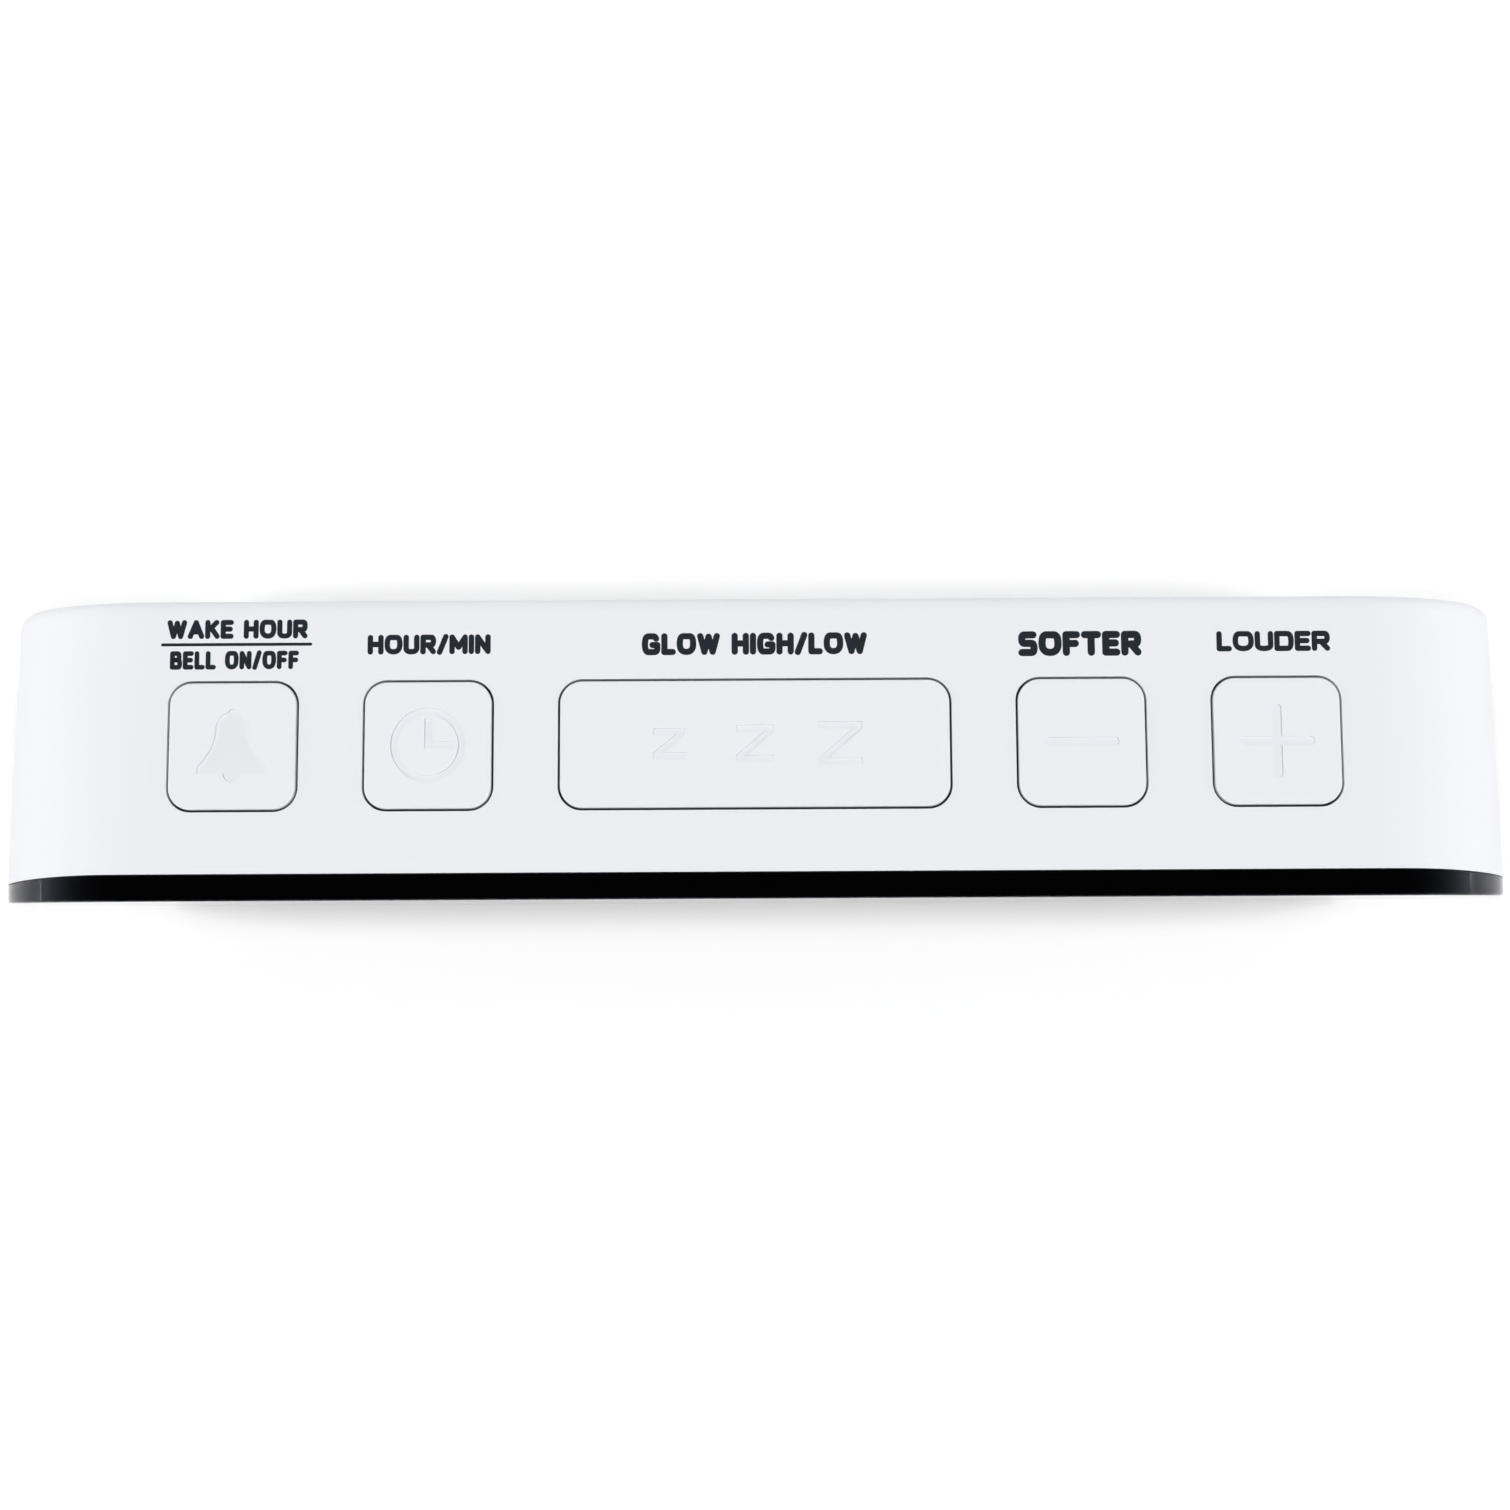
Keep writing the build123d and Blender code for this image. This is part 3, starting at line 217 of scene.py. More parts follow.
def plated(name, pale, deep, streak_mm, depth_mm, matt):
    """Bare or plated metal: drawn-out streaks in tone, gloss and relief."""
    material, tree, place = begin(name)
    along_x = (0.15, 1.0, 1.0)
    drawn = add(tree, "ShaderNodeMapping", {"Vector": place, "Scale": along_x})
    streaks = add(tree, "ShaderNodeTexNoise", {"Vector": drawn, "Scale": per(streak_mm), "Detail": 4.0})
    colour = add(tree, "ShaderNodeMix", {0: streaks, 6: deep, 7: pale}, data_type="RGBA")
    gloss = add(tree, "ShaderNodeMapRange", {"Value": streaks, "To Min": matt[0], "To Max": matt[1]})
    relief = add(tree, "ShaderNodeBump", {"Height": streaks, "Distance": depth_mm * MM})
    look = {"Base Color": colour, "Metallic": 1.0, "Roughness": gloss, "Normal": relief}
    end(tree, add(tree, "ShaderNodeBsdfPrincipled", look))
    return material


def smoked_acrylic(smoke, density):
    """Cast acrylic with a smoke dye: black edge-on, clear but dark face-on, with a cold blue shine."""
    material, tree, place = begin("smoked_cast_acrylic")
    haze = add(tree, "ShaderNodeTexNoise", {"Vector": place, "Scale": per(6.0), "Detail": 3.0})
    gloss = add(tree, "ShaderNodeMapRange", {"Value": haze, "To Min": 0.015, "To Max": 0.05})
    relief = add(tree, "ShaderNodeBump", {"Height": haze, "Distance": 0.002 * MM})
    look = {"Base Color": linear("#FFFFFF"), "Transmission Weight": 1.0, "IOR": 1.49}
    look.update({"Specular Tint": linear("#C8D0F0"), "Roughness": gloss, "Normal": relief})
    dye = add(tree, "ShaderNodeVolumeAbsorption", {"Color": smoke, "Density": density})
    end(tree, add(tree, "ShaderNodeBsdfPrincipled", look), dye)
    return material


def light_pipe(name, glow, strength):
    """Milky polycarbonate: soft white in daylight, or evenly lit from behind with a slight drift."""
    material, tree, place = begin(name)
    milk = add(tree, "ShaderNodeTexNoise", {"Vector": place, "Scale": per(3.0), "Detail": 2.0})
    tones = {6: linear("#C3C8CC"), 7: linear("#DDE1E3")}
    grain = add(tree, "ShaderNodeTexNoise", {"Vector": place, "Scale": per(0.3), "Detail": 2.0})
    gloss = add(tree, "ShaderNodeMapRange", {"Value": grain, "To Min": 0.35, "To Max": 0.5})
    look = {"Base Color": add(tree, "ShaderNodeMix", {0: milk, **tones}, data_type="RGBA")}
    look.update({"Roughness": gloss, "IOR": 1.58})
    if strength:
        dim, bright = 0.85, 1.1
        limits = {"To Min": dim * strength, "To Max": bright * strength}
        look["Emission Color"] = glow
        look["Emission Strength"] = add(tree, "ShaderNodeMapRange", {"Value": milk, **limits})
    end(tree, add(tree, "ShaderNodeBsdfPrincipled", look))
    return material


def printing_ink(colour):
    """Pad-printed ink: dense and nearly matt, a touch thinner in places."""
    material, tree, place = begin("slate_printing_ink")
    # Thin ink lets a little of the white below through
    gain, veil = 1.25, 0.004
    thin = [min(1.0, gain * channel + veil) for channel in colour[:3]] + [1.0]
    cover = add(tree, "ShaderNodeTexNoise", {"Vector": place, "Scale": per(0.25), "Detail": 3.0})
    gloss = add(tree, "ShaderNodeMapRange", {"Value": cover, "To Min": 0.45, "To Max": 0.6})
    relief = add(tree, "ShaderNodeBump", {"Height": cover, "Distance": 0.003 * MM})
    look = {"Base Color": add(tree, "ShaderNodeMix", {0: cover, 6: colour, 7: thin}, data_type="RGBA")}
    look.update({"Roughness": gloss, "Normal": relief})
    end(tree, add(tree, "ShaderNodeBsdfPrincipled", look))
    return material


def solder_mask():
    """Glass-epoxy board under green solder mask: rows of tracks show as paler bands."""
    material, tree, place = begin("green_solder_mask")
    turned = add(tree, "ShaderNodeMapping", {"Vector": place, "Rotation": (math.pi / 2, 0.0, 0.0)})
    rows = {"Vector": turned, "Scale": per(9.0), "Mortar Size": 0.03, "Brick Width": 1.3}
    tracks = add(tree, "ShaderNodeTexBrick", rows, offset=0.37).outputs["Fac"]
    tones = {6: linear("#1D5634"), 7: linear("#3C7F50")}
    grain = add(tree, "ShaderNodeTexNoise", {"Vector": place, "Scale": per(0.8), "Detail": 2.0})
    gloss = add(tree, "ShaderNodeMapRange", {"Value": grain, "To Min": 0.3, "To Max": 0.42})
    relief = add(tree, "ShaderNodeBump", {"Height": tracks, "Distance": 0.03 * MM})
    look = {"Base Color": add(tree, "ShaderNodeMix", {0: tracks, **tones}, data_type="RGBA")}
    look.update({"Roughness": gloss, "Normal": relief})
    end(tree, add(tree, "ShaderNodeBsdfPrincipled", look))
    return material


def striped(name, first, second, pitch_mm, axis, depth_mm, matt, metallic=0.0):
    """Wires laid side by side, as in a ribbon or a winding: bands of two tones with round ridges."""
    material, tree, place = begin(name)
    # Length at which a wave of scale 1 repeats
    wave_length = 0.314
    waves = {"Vector": place, "Scale": wave_length * per(pitch_mm)}
    bands = add(tree, "ShaderNodeTexWave", waves, bands_direction=axis).outputs["Fac"]
    grain = add(tree, "ShaderNodeTexNoise", {"Vector": place, "Scale": per(0.4), "Detail": 2.0})
    gloss = add(tree, "ShaderNodeMapRange", {"Value": grain, "To Min": matt[0], "To Max": matt[1]})
    relief = add(tree, "ShaderNodeBump", {"Height": bands, "Distance": depth_mm * MM})
    look = {"Base Color": add(tree, "ShaderNodeMix", {0: bands, 6: first, 7: second}, data_type="RGBA")}
    look.update({"Metallic": metallic, "Roughness": gloss, "Normal": relief})
    end(tree, add(tree, "ShaderNodeBsdfPrincipled", look))
    return material


def cell_jacket():
    """Film round a dry cell: slate blue, with a pale ring at the positive end, and bare steel tips."""
    material, tree, place = begin("printed_cell_jacket")
    parts = add(tree, "ShaderNodeSeparateXYZ", {"Vector": place}).outputs
    middle = (CELLS_LOW + CELLS_HIGH) / 2
    # Where the ring and the bare tips start and are full, from the middle of a cell
    ring = {"From Min": 17.3 * MM, "From Max": 17.5 * MM}
    tips = {"From Min": 21.9 * MM, "From Max": 22.0 * MM}
    upper = add(tree, "ShaderNodeMath", {0: parts["Z"], 1: middle.z}, operation="GREATER_THAN")
    side = add(tree, "ShaderNodeMapRange", {"Value": upper, "To Min": 1.0, "To Max": -1.0})
    offset = add(tree, "ShaderNodeMath", {0: parts["X"], 1: middle.x}, operation="SUBTRACT")
    along = add(tree, "ShaderNodeMath", {0: offset, 1: side}, operation="MULTIPLY")
    band = add(tree, "ShaderNodeMapRange", {"Value": along, **ring})
    reach = add(tree, "ShaderNodeMath", {0: offset}, operation="ABSOLUTE")
    bare = add(tree, "ShaderNodeMapRange", {"Value": reach, **tips})
    cloud = add(tree, "ShaderNodeTexNoise", {"Vector": place, "Scale": per(5.0), "Detail": 2.0})
    tones = {6: linear("#3C5570"), 7: linear("#48627E")}
    film = add(tree, "ShaderNodeMix", {0: cloud, **tones}, data_type="RGBA")
    film = add(tree, "ShaderNodeMix", {0: band, 6: film, 7: linear("#C6CBD0")}, data_type="RGBA")
    colour = add(tree, "ShaderNodeMix", {0: bare, 6: film, 7: linear("#C4C5C6")}, data_type="RGBA")
    grain = add(tree, "ShaderNodeTexNoise", {"Vector": place, "Scale": per(0.5), "Detail": 2.0})
    gloss = add(tree, "ShaderNodeMapRange", {"Value": grain, "To Min": 0.25, "To Max": 0.4})
    look = {"Base Color": colour, "Metallic": bare, "Roughness": gloss}
    end(tree, add(tree, "ShaderNodeBsdfPrincipled", look))
    return material


def top_point(x, behind):
    """Point of the sloping top at x, and this far behind the seam along the slope."""
    return Vector((x, SEAM_Y, CASE_HIGH.z)) + TOP_BACK * behind


def finish(slot, material):
    """Gives a material to every node of the frame that has this material slot."""
    used = False
    for node in frame["nodes"].values():
        for place in node.material_slots:
            if place.material and place.material.name == slot:
                place.material = material
                used = True
    if not used:
        raise RuntimeError(f"no node has the slot {slot}")


def deselect():
    """Nothing selected, and no object in edit mode."""
    if bpy.context.object and bpy.context.object.mode != "OBJECT":
        bpy.ops.object.mode_set(mode="OBJECT")
    bpy.ops.object.select_all(action="DESELECT")


def choose_faces(test):
    """Selects only the faces of the mesh in edit mode that pass a test."""
    bpy.ops.mesh.select_mode(type="FACE")
    bpy.ops.mesh.select_all(action="DESELECT")
    mesh = bmesh.from_edit_mesh(bpy.context.object.data)
    for face in mesh.faces:
        face.select_set(test(face))
    bmesh.update_edit_mesh(bpy.context.object.data)


def settle(piece, name, body, material=None):
    """Names a finished piece, applies its place and lets it ride on its body."""
    deselect()
    piece.select_set(True)
    bpy.context.view_layer.objects.active = piece
    bpy.ops.object.transform_apply(location=True, rotation=True, scale=True)
    piece.name = name
    piece.data.name = name
    if material is not None:
        piece.data.materials.clear()
        piece.data.materials.append(material)
    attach(piece, body)
    return piece


def capped(points, reach):
    """Stroke points with round ends: place and share of the full width."""
    places = [Vector(point) for point in points]
    ends = []
    for tip, inner in ((places[0], places[1]), (places[-1], places[-2])):
        out = (tip - inner).normalized() * reach
        ends.append([(tip + out * share, math.sqrt(1.0 - share**2)) for share in CAP_STATIONS])
    return ends[0] + [(place, 1.0) for place in places] + ends[1][::-1]


def pen(name, strokes, width):
    """Round-ended strokes of one width, as a mesh about the origin in the XY plane."""
    curve = bpy.data.curves.new(name, "CURVE")
    curve.dimensions = "3D"
    curve.bevel_depth = width / 2
    curve.bevel_resolution = 2
    curve.resolution_u = 6
    curve.use_fill_caps = True
    for points, curved in strokes:
        stations = capped(points, width / 2)
        spline = curve.splines.new("NURBS" if curved else "POLY")
        spline.points.add(len(stations) - 1)
        for point, (place, share) in zip(spline.points, stations):
            point.co = (place.x, place.y, 0.0, 1.0)
            point.radius = share
        if curved:
            spline.order_u = 3
            spline.use_endpoint_u = True
    piece = bpy.data.objects.new(name, curve)
    bpy.context.collection.objects.link(piece)
    deselect()
    piece.select_set(True)
    bpy.context.view_layer.objects.active = piece
    bpy.ops.object.convert(target="MESH")
    return bpy.context.object


def word_strokes(words, cap, width, length, space):
    """Pen strokes of a line of letters about the origin, stretched to the line's length."""
    height = cap - width
    step = width + space
    stretch = (length - width - step * (len(words) - 1)) / sum(LETTERS[letter][0] for letter in words)
    strokes = []
    x = (width - length) / 2
    for letter in words:
        share, straight, curved = LETTERS[letter]
        for group, is_curved in ((straight, False), (curved, True)):
            for points in group:
                placed = [(x + px * stretch, (py - 0.5) * height) for px, py in points]
                strokes.append((placed, is_curved))
        x += share * stretch + step
    return strokes


def lay(piece, origin, right, up, depth, width):
    """Lays a drawn piece on a face: flattened to depth, and turned to the face's directions."""
    turn = Matrix((right, up, right.cross(up))).transposed().to_4x4()
    flatten = Matrix.Diagonal((1.0, 1.0, 2 * depth / width, 1.0))
    piece.matrix_world = Matrix.Translation(origin) @ turn @ flatten


# What every colour setting has in common
COLOUR = {"subtype": "COLOR", "size": 4, "min": 0.0, "max": 1.0}


class ClockFinish(bpy.types.PropertyGroup):
    """Colours of the mouldings and the front."""

    case_colour: bpy.props.FloatVectorProperty(
        name="Case Colour",
        description="Moulded case, cover, door and key tops",
        default=linear("#EEF0F4"),
        **COLOUR,
    )
    # Painted shade: dark grey on each key below its visible top, standing for the shade in the gap round it
    painted_gap_shade_colour: bpy.props.FloatVectorProperty(
        name="Painted Key Gap Shade",
        description="Part of each key below its visible top",
        default=linear("#626468"),
        **COLOUR,
    )
    smoke_colour: bpy.props.FloatVectorProperty(
        name="Smoke Colour",
        description="Dye of the smoked front",
        default=linear("#3A3D46"),
        **COLOUR,
    )
    smoke_density: bpy.props.FloatProperty(
        name="Smoke Density",
        description="How fast the smoked front swallows light, for each metre",
        default=1100.0,
        min=0.0,
    )
    grain: bpy.props.FloatProperty(
        name="Grain",
        description="Size of the fine grain of the moulding tool, in millimetres",
        default=0.35,
        min=0.05,
        max=5.0,
    )


class ClockFigures(bpy.types.PropertyGroup):
    """The time shown and its light."""

    shown: bpy.props.StringProperty(
        name="Time",
        description="Four digits that the figures show",
        default="1008",
    )
    glow: bpy.props.FloatVectorProperty(
        name="Light Colour",
        description="Colour that the figures are lit in",
        default=linear("#2FA8FF"),
        **COLOUR,
    )
    strength: bpy.props.FloatProperty(
        name="Light Strength",
        description="Brightness of a lit bar before the smoked front dims it",
        default=16.0,
        min=0.0,
        max=50.0,
    )
    stroke: bpy.props.FloatProperty(
        name="Bar Width",
        description="Width of one bar of a figure",
        subtype="DISTANCE",
        default=4.1 * MM,
        min=0.5 * MM,
    )
    gap: bpy.props.FloatProperty(
        name="Bar Gap",
        description="Clear space at each end of a bar",
        subtype="DISTANCE",
        default=0.4 * MM,
        min=0.0,
    )
    edge_round: bpy.props.FloatProperty(
        name="Edge Rounding",
        description="Rounding of a bar's edges",
        subtype="DISTANCE",
        default=0.15 * MM,
        min=0.0,
    )


class ClockPrint(bpy.types.PropertyGroup):
    """The words printed behind the keys and the marks on the rear."""

    ink_colour: bpy.props.FloatVectorProperty(
        name="Ink Colour",
        description="Printed words",
        default=linear("#20262D"),
        **COLOUR,
    )
    line: bpy.props.FloatProperty(
        name="Line",
        description="Middle of the printed words, behind the middle of the keys",
        subtype="DISTANCE",
        default=10.4 * MM,
        min=8.0 * MM,
    )
    cap: bpy.props.FloatProperty(
        name="Capital Height",
        description="Height of the printed capitals",
        subtype="DISTANCE",
        default=2.05 * MM,
        min=0.5 * MM,
    )
    weight: bpy.props.FloatProperty(
        name="Stroke Width",
        description="Width of the printed strokes",
        subtype="DISTANCE",
        default=0.55 * MM,
        min=0.1 * MM,
    )
    space: bpy.props.FloatProperty(
        name="Letter Space",
        description="Clear space between two letters",
        subtype="DISTANCE",
        default=0.08 * MM,
        min=0.0,
    )
    thickness: bpy.props.FloatProperty(
        name="Ink Thickness",
        description="How far the ink stands above the plastic",
        subtype="DISTANCE",
        default=0.02 * MM,
        min=0.0,
    )
    mark_height: bpy.props.FloatProperty(
        name="Mark Relief",
        description="How far the moulded marks stand above the rear cover",
        subtype="DISTANCE",
        default=0.2 * MM,
        min=0.0,
    )


class ClockStage(bpy.types.PropertyGroup):
    """Camera, floor and light."""

    camera_height: bpy.props.FloatProperty(
        name="Camera Height",
        description="Height of the camera above the table",
        subtype="DISTANCE",
        default=323.2 * MM,
        min=0.1,
    )
    camera_y: bpy.props.FloatProperty(
        name="Camera Place",
        description="Place of the camera between the front and the rear of the clock",
        subtype="DISTANCE",
        default=-17.85 * MM,
    )
    camera_tilt: bpy.props.FloatProperty(
        name="Camera Tilt",
        description="Turn of the camera from straight down towards the rear",
        subtype="ANGLE",
        default=0.0672,
    )
    camera_roll: bpy.props.FloatProperty(
        name="Camera Roll",
        description="Turn of the camera about its own line of sight",
        subtype="ANGLE",
        default=0.0052,
    )
    focal_length: bpy.props.FloatProperty(
        name="Focal Length",
        description="Focal length on a 36 mm sensor, in millimetres",
        default=58.5,
        min=10.0,
    )
    overhead: bpy.props.FloatProperty(
        name="Overhead Light",
        description="Light from above on a level face, as a share of what makes white paper white",
        default=0.825,
        min=0.0,
    )
    softness: bpy.props.FloatProperty(
        name="Overhead Softness",
        description="Angle that each light above spans, which sets how soft the shadow is",
        subtype="ANGLE",
        default=math.radians(5.0),
        min=0.0,
    )
    spread: bpy.props.FloatProperty(
        name="Overhead Spread",
        description="How far the lights above lean to the sides, as a share of their height",
        default=0.32,
        min=0.0,
    )
    sidelight: bpy.props.FloatProperty(
        name="Side Light",
        description="Light of the low softboxes on the two ends, as a share of white",
        default=0.3,
        min=0.0,
    )
    ambient: bpy.props.FloatProperty(
        name="Ambient Light",
        description="Light from all round, as a share of white",
        default=0.16,
        min=0.0,
    )


class CLOCK_OT_finish_mouldings(bpy.types.Operator):
    """Finishes the white mouldings, the keys and the feet"""

    bl_idname = "clock.finish_mouldings"
    bl_label = "Finish Mouldings"

    def execute(self, context):
        look = context.scene.clock_finish
        drift, shade = 0.975, 0.948
        pale = list(look.case_colour)
        deep = [drift * channel for channel in pale[:3]] + [1.0]
        painted_recess_shade = [shade * channel for channel in pale[:3]] + [1.0]
        # Painted shade, depths in millimetres: a shade darker just below the face, on the floors of the
        # pressed-in signs and the key's sides, then dark grey below the visible top, where the gap round
        # the key is in shade
        painted_shade_layers = ((painted_recess_shade, 0.06, 0.2), (list(look.painted_gap_shade_colour), 0.7, 1.1))
        # ABS from a spark-eroded tool: even white, with a satin that spreads every highlight. The real
        # grain is under a tenth of a millimetre, and is drawn coarser so that it shows
        skin = {"cloud_mm": 40.0, "grain_mm": look.grain, "depth_mm": 0.004}
        finish("white_abs", moulded("satin_white_abs", pale, deep, **skin, matt=(0.42, 0.52)))
        # The same ABS with painted shade, so the gap round a key reads as a thin dark line, and its
        # pressed-in signs a shade deeper than its face
        key = moulded("satin_key_abs_painted_shade", pale, deep, **skin, matt=(0.4, 0.5), painted_shade_layers=painted_shade_layers)
        finish("key_abs", key)
        # Moulded rubber: dull, dark grey, with a dusty bloom in places
        pale, deep = linear("#26282A"), linear("#1B1C1D")
        skin = {"cloud_mm": 3.0, "grain_mm": 0.3, "depth_mm": 0.02}
        finish("black_rubber", moulded("black_moulded_rubber", pale, deep, **skin, matt=(0.7, 0.85)))
        return {"FINISHED"}


class CLOCK_OT_finish_front(bpy.types.Operator):
    """Finishes the smoked front, its tape and the block behind it"""

    bl_idname = "clock.finish_front"
    bl_label = "Finish Front"

    def execute(self, context):
        look = context.scene.clock_finish
        finish("smoked_acrylic", smoked_acrylic(list(look.smoke_colour), look.smoke_density))
        # Foam tape: flat black with open pores
        pale, deep = linear("#1A1A1B"), linear("#0E0E0F")
        skin = {"cloud_mm": 2.0, "grain_mm": 0.4, "depth_mm": 0.05}
        finish("black_tape", moulded("black_foam_tape", pale, deep, **skin, matt=(0.8, 0.95)))
        # Black ABS block: matt, so that unlit bars stay hidden
        pale, deep = linear("#17181A"), linear("#101113")
        skin = {"cloud_mm": 15.0, "grain_mm": 0.3, "depth_mm": 0.01}
        finish("reflector_plastic", moulded("matt_black_abs", pale, deep, **skin, matt=(0.55, 0.7)))
        return {"FINISHED"}


class CLOCK_OT_light_figures(bpy.types.Operator):
    """Models the bars of the four figures, the colon and the bell dot, lit or dark"""

    bl_idname = "clock.light_figures"
    bl_label = "Light Figures"

    def model_bar(self, look, length, depth):
        """One bar along X, pointed at both ends, about the origin."""
        tip_share, facing = 0.08, 0.9
        deselect()
        bpy.ops.mesh.primitive_cube_add(size=1.0)
        bar = bpy.context.object
        bar.scale = (length - look.stroke, depth, look.stroke)
        bpy.ops.object.transform_apply(scale=True)
        bpy.ops.object.mode_set(mode="EDIT")
        for side in (-1, 1):
            choose_faces(lambda face: face.normal.x * side > facing)
            reach = (side * look.stroke / 2, 0.0, 0.0)
            bpy.ops.mesh.extrude_region_move(TRANSFORM_OT_translate={"value": reach})
            bpy.ops.transform.resize(value=(1.0, 1.0, tip_share))
        bpy.ops.object.mode_set(mode="OBJECT")
        soften = bar.modifiers.new("Edges", "BEVEL")
        soften.width = look.edge_round
        soften.segments = 2
        bpy.ops.object.modifier_apply(modifier=soften.name)
        return bar

    def model_dots(self, look, node):
        """One round light pipe for each dot of a node, with rounded edges."""
        low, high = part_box(node)
        radius = (high.x - low.x) / 2
        alone = high.z - low.z < 3 * radius
        places = [low.z + radius] if alone else [low.z + radius, high.z - radius]
        for z in places:
            bpy.ops.mesh.primitive_cylinder_add(vertices=40, radius=radius, depth=high.y - low.y)
            dot = bpy.context.object
            dot.location = ((low.x + high.x) / 2, (low.y + high.y) / 2, z)
            dot.rotation_euler = (math.pi / 2, 0.0, 0.0)
            soften = dot.modifiers.new("Edges", "BEVEL")
            soften.width = 2 * look.edge_round
            soften.segments = 3
            soften.limit_method = "ANGLE"
            bpy.ops.object.modifier_apply(modifier=soften.name)
            yield dot

    def join(self, parts):
        """Joins parts into one piece."""
        deselect()
        for part in parts:
            part.select_set(True)
        bpy.context.view_layer.objects.active = parts[0]
        bpy.ops.object.join()
        return bpy.context.object

    def execute(self, context):
        look = context.scene.clock_figures
        if len(look.shown) != 4 or not look.shown.isdigit():
            raise RuntimeError("the time has four digits")
        lit = light_pipe("lit_milky_polycarbonate", list(look.glow), look.strength)
        dark = light_pipe("dark_milky_polycarbonate", None, 0.0)
        low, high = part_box(FIGURE_NODES[0])
        side_x = (high.x - low.x - look.stroke) / 2
        end_z = (high.z - low.z - look.stroke) / 2
        depth = high.y - low.y
        flat = self.model_bar(look, 2 * (side_x - look.gap), depth)
        upright = self.model_bar(look, end_z - 2 * look.gap, depth)
        places = {
            "a": (flat, 0.0, end_z),
            "b": (upright, side_x, end_z / 2),
            "c": (upright, side_x, -end_z / 2),
            "d": (flat, 0.0, -end_z),
            "e": (upright, -side_x, -end_z / 2),
            "f": (upright, -side_x, end_z / 2),
            "g": (flat, 0.0, 0.0),
        }
        for node, digit in zip(FIGURE_NODES, look.shown):
            low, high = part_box(node)
            middle = (low + high) / 2
            parts = []
            for letter, (model, x, z) in places.items():
                bar = model.copy()
                bar.data = model.data.copy()
                context.collection.objects.link(bar)
                bar.data.materials.append(lit if letter in LIT_BARS[digit] else dark)
                if model is upright:
                    bar.rotation_euler = (0.0, math.pi / 2, 0.0)
                bar.location = middle + Vector((x, 0.0, z))
                parts.append(bar)
            piece = settle(self.join(parts), node.replace("segments", "bars"), "clock")
            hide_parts(node)
        for model in (flat, upright):
            bpy.data.objects.remove(model)
        dots = (("colon_dots", "colon_lights", lit), ("alarm_dot", "bell_light", dark))
        for node, name, material in dots:
            deselect()
            piece = self.join(list(self.model_dots(look, node)))
            settle(piece, name, "clock", material)
            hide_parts(node)
        return {"FINISHED"}


class CLOCK_OT_print_words(bpy.types.Operator):
    """Prints plain words behind the keys"""

    bl_idname = "clock.print_words"
    bl_label = "Print Words"

    def stamp(self, look, name, strokes, width, key, beside, behind, ink):
        """Draws strokes, and lays them on the top behind a key."""
        low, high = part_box(key)
        piece = pen(name, strokes, width)
        origin = top_point((low.x + high.x) / 2 + beside, KEY_ROW + look.line + behind)
        lay(piece, origin, Vector((1.0, 0.0, 0.0)), TOP_BACK, look.thickness, width)
        settle(piece, name, "clock", ink)

    def execute(self, context):
        look = context.scene.clock_print
        ink = printing_ink(list(look.ink_colour))
        # Name, words, key, place beside the key and behind the line in millimetres, shares of the capital
        # height and the stroke width, and length in millimetres
        lines = (
            ("wake_words", "WAKE HOUR", "alarm_key", 0.25, 1.9, 0.98, 1.0, 14.6),
            ("bell_words", "BELL ON/OFF", "alarm_key", 0.0, -1.35, 0.95, 0.92, 13.4),
            ("hour_words", "HOUR/MIN", "time_key", 0.0, 0.2, 1.02, 1.05, 12.8),
            ("glow_words", "GLOW HIGH/LOW", "snooze_key", 0.0, 0.1, 1.13, 1.2, 23.4),
            ("softer_words", "SOFTER", "minus_key", 0.0, -0.05, 1.28, 1.4, 12.8),
            ("louder_words", "LOUDER", "plus_key", -0.1, 0.1, 1.04, 1.05, 11.8),
        )
        for name, words, key, beside, behind, cap_share, weight_share, length in lines:
            width = look.weight * weight_share
            strokes = word_strokes(words, look.cap * cap_share, width, length * MM, look.space)
            self.stamp(look, name, strokes, width, key, beside * MM, behind * MM, ink)
        # Thin rule between the two lines of the first key
        width, reach = 0.32 * MM, 7.85 * MM
        beside, behind = 0.2 * MM, 0.3 * MM
        half = reach - width / 2
        rule = [([(-half, 0.0), (half, 0.0)], False)]
        self.stamp(look, "dividing_rule", rule, width, "alarm_key", beside, behind, ink)
        return {"FINISHED"}


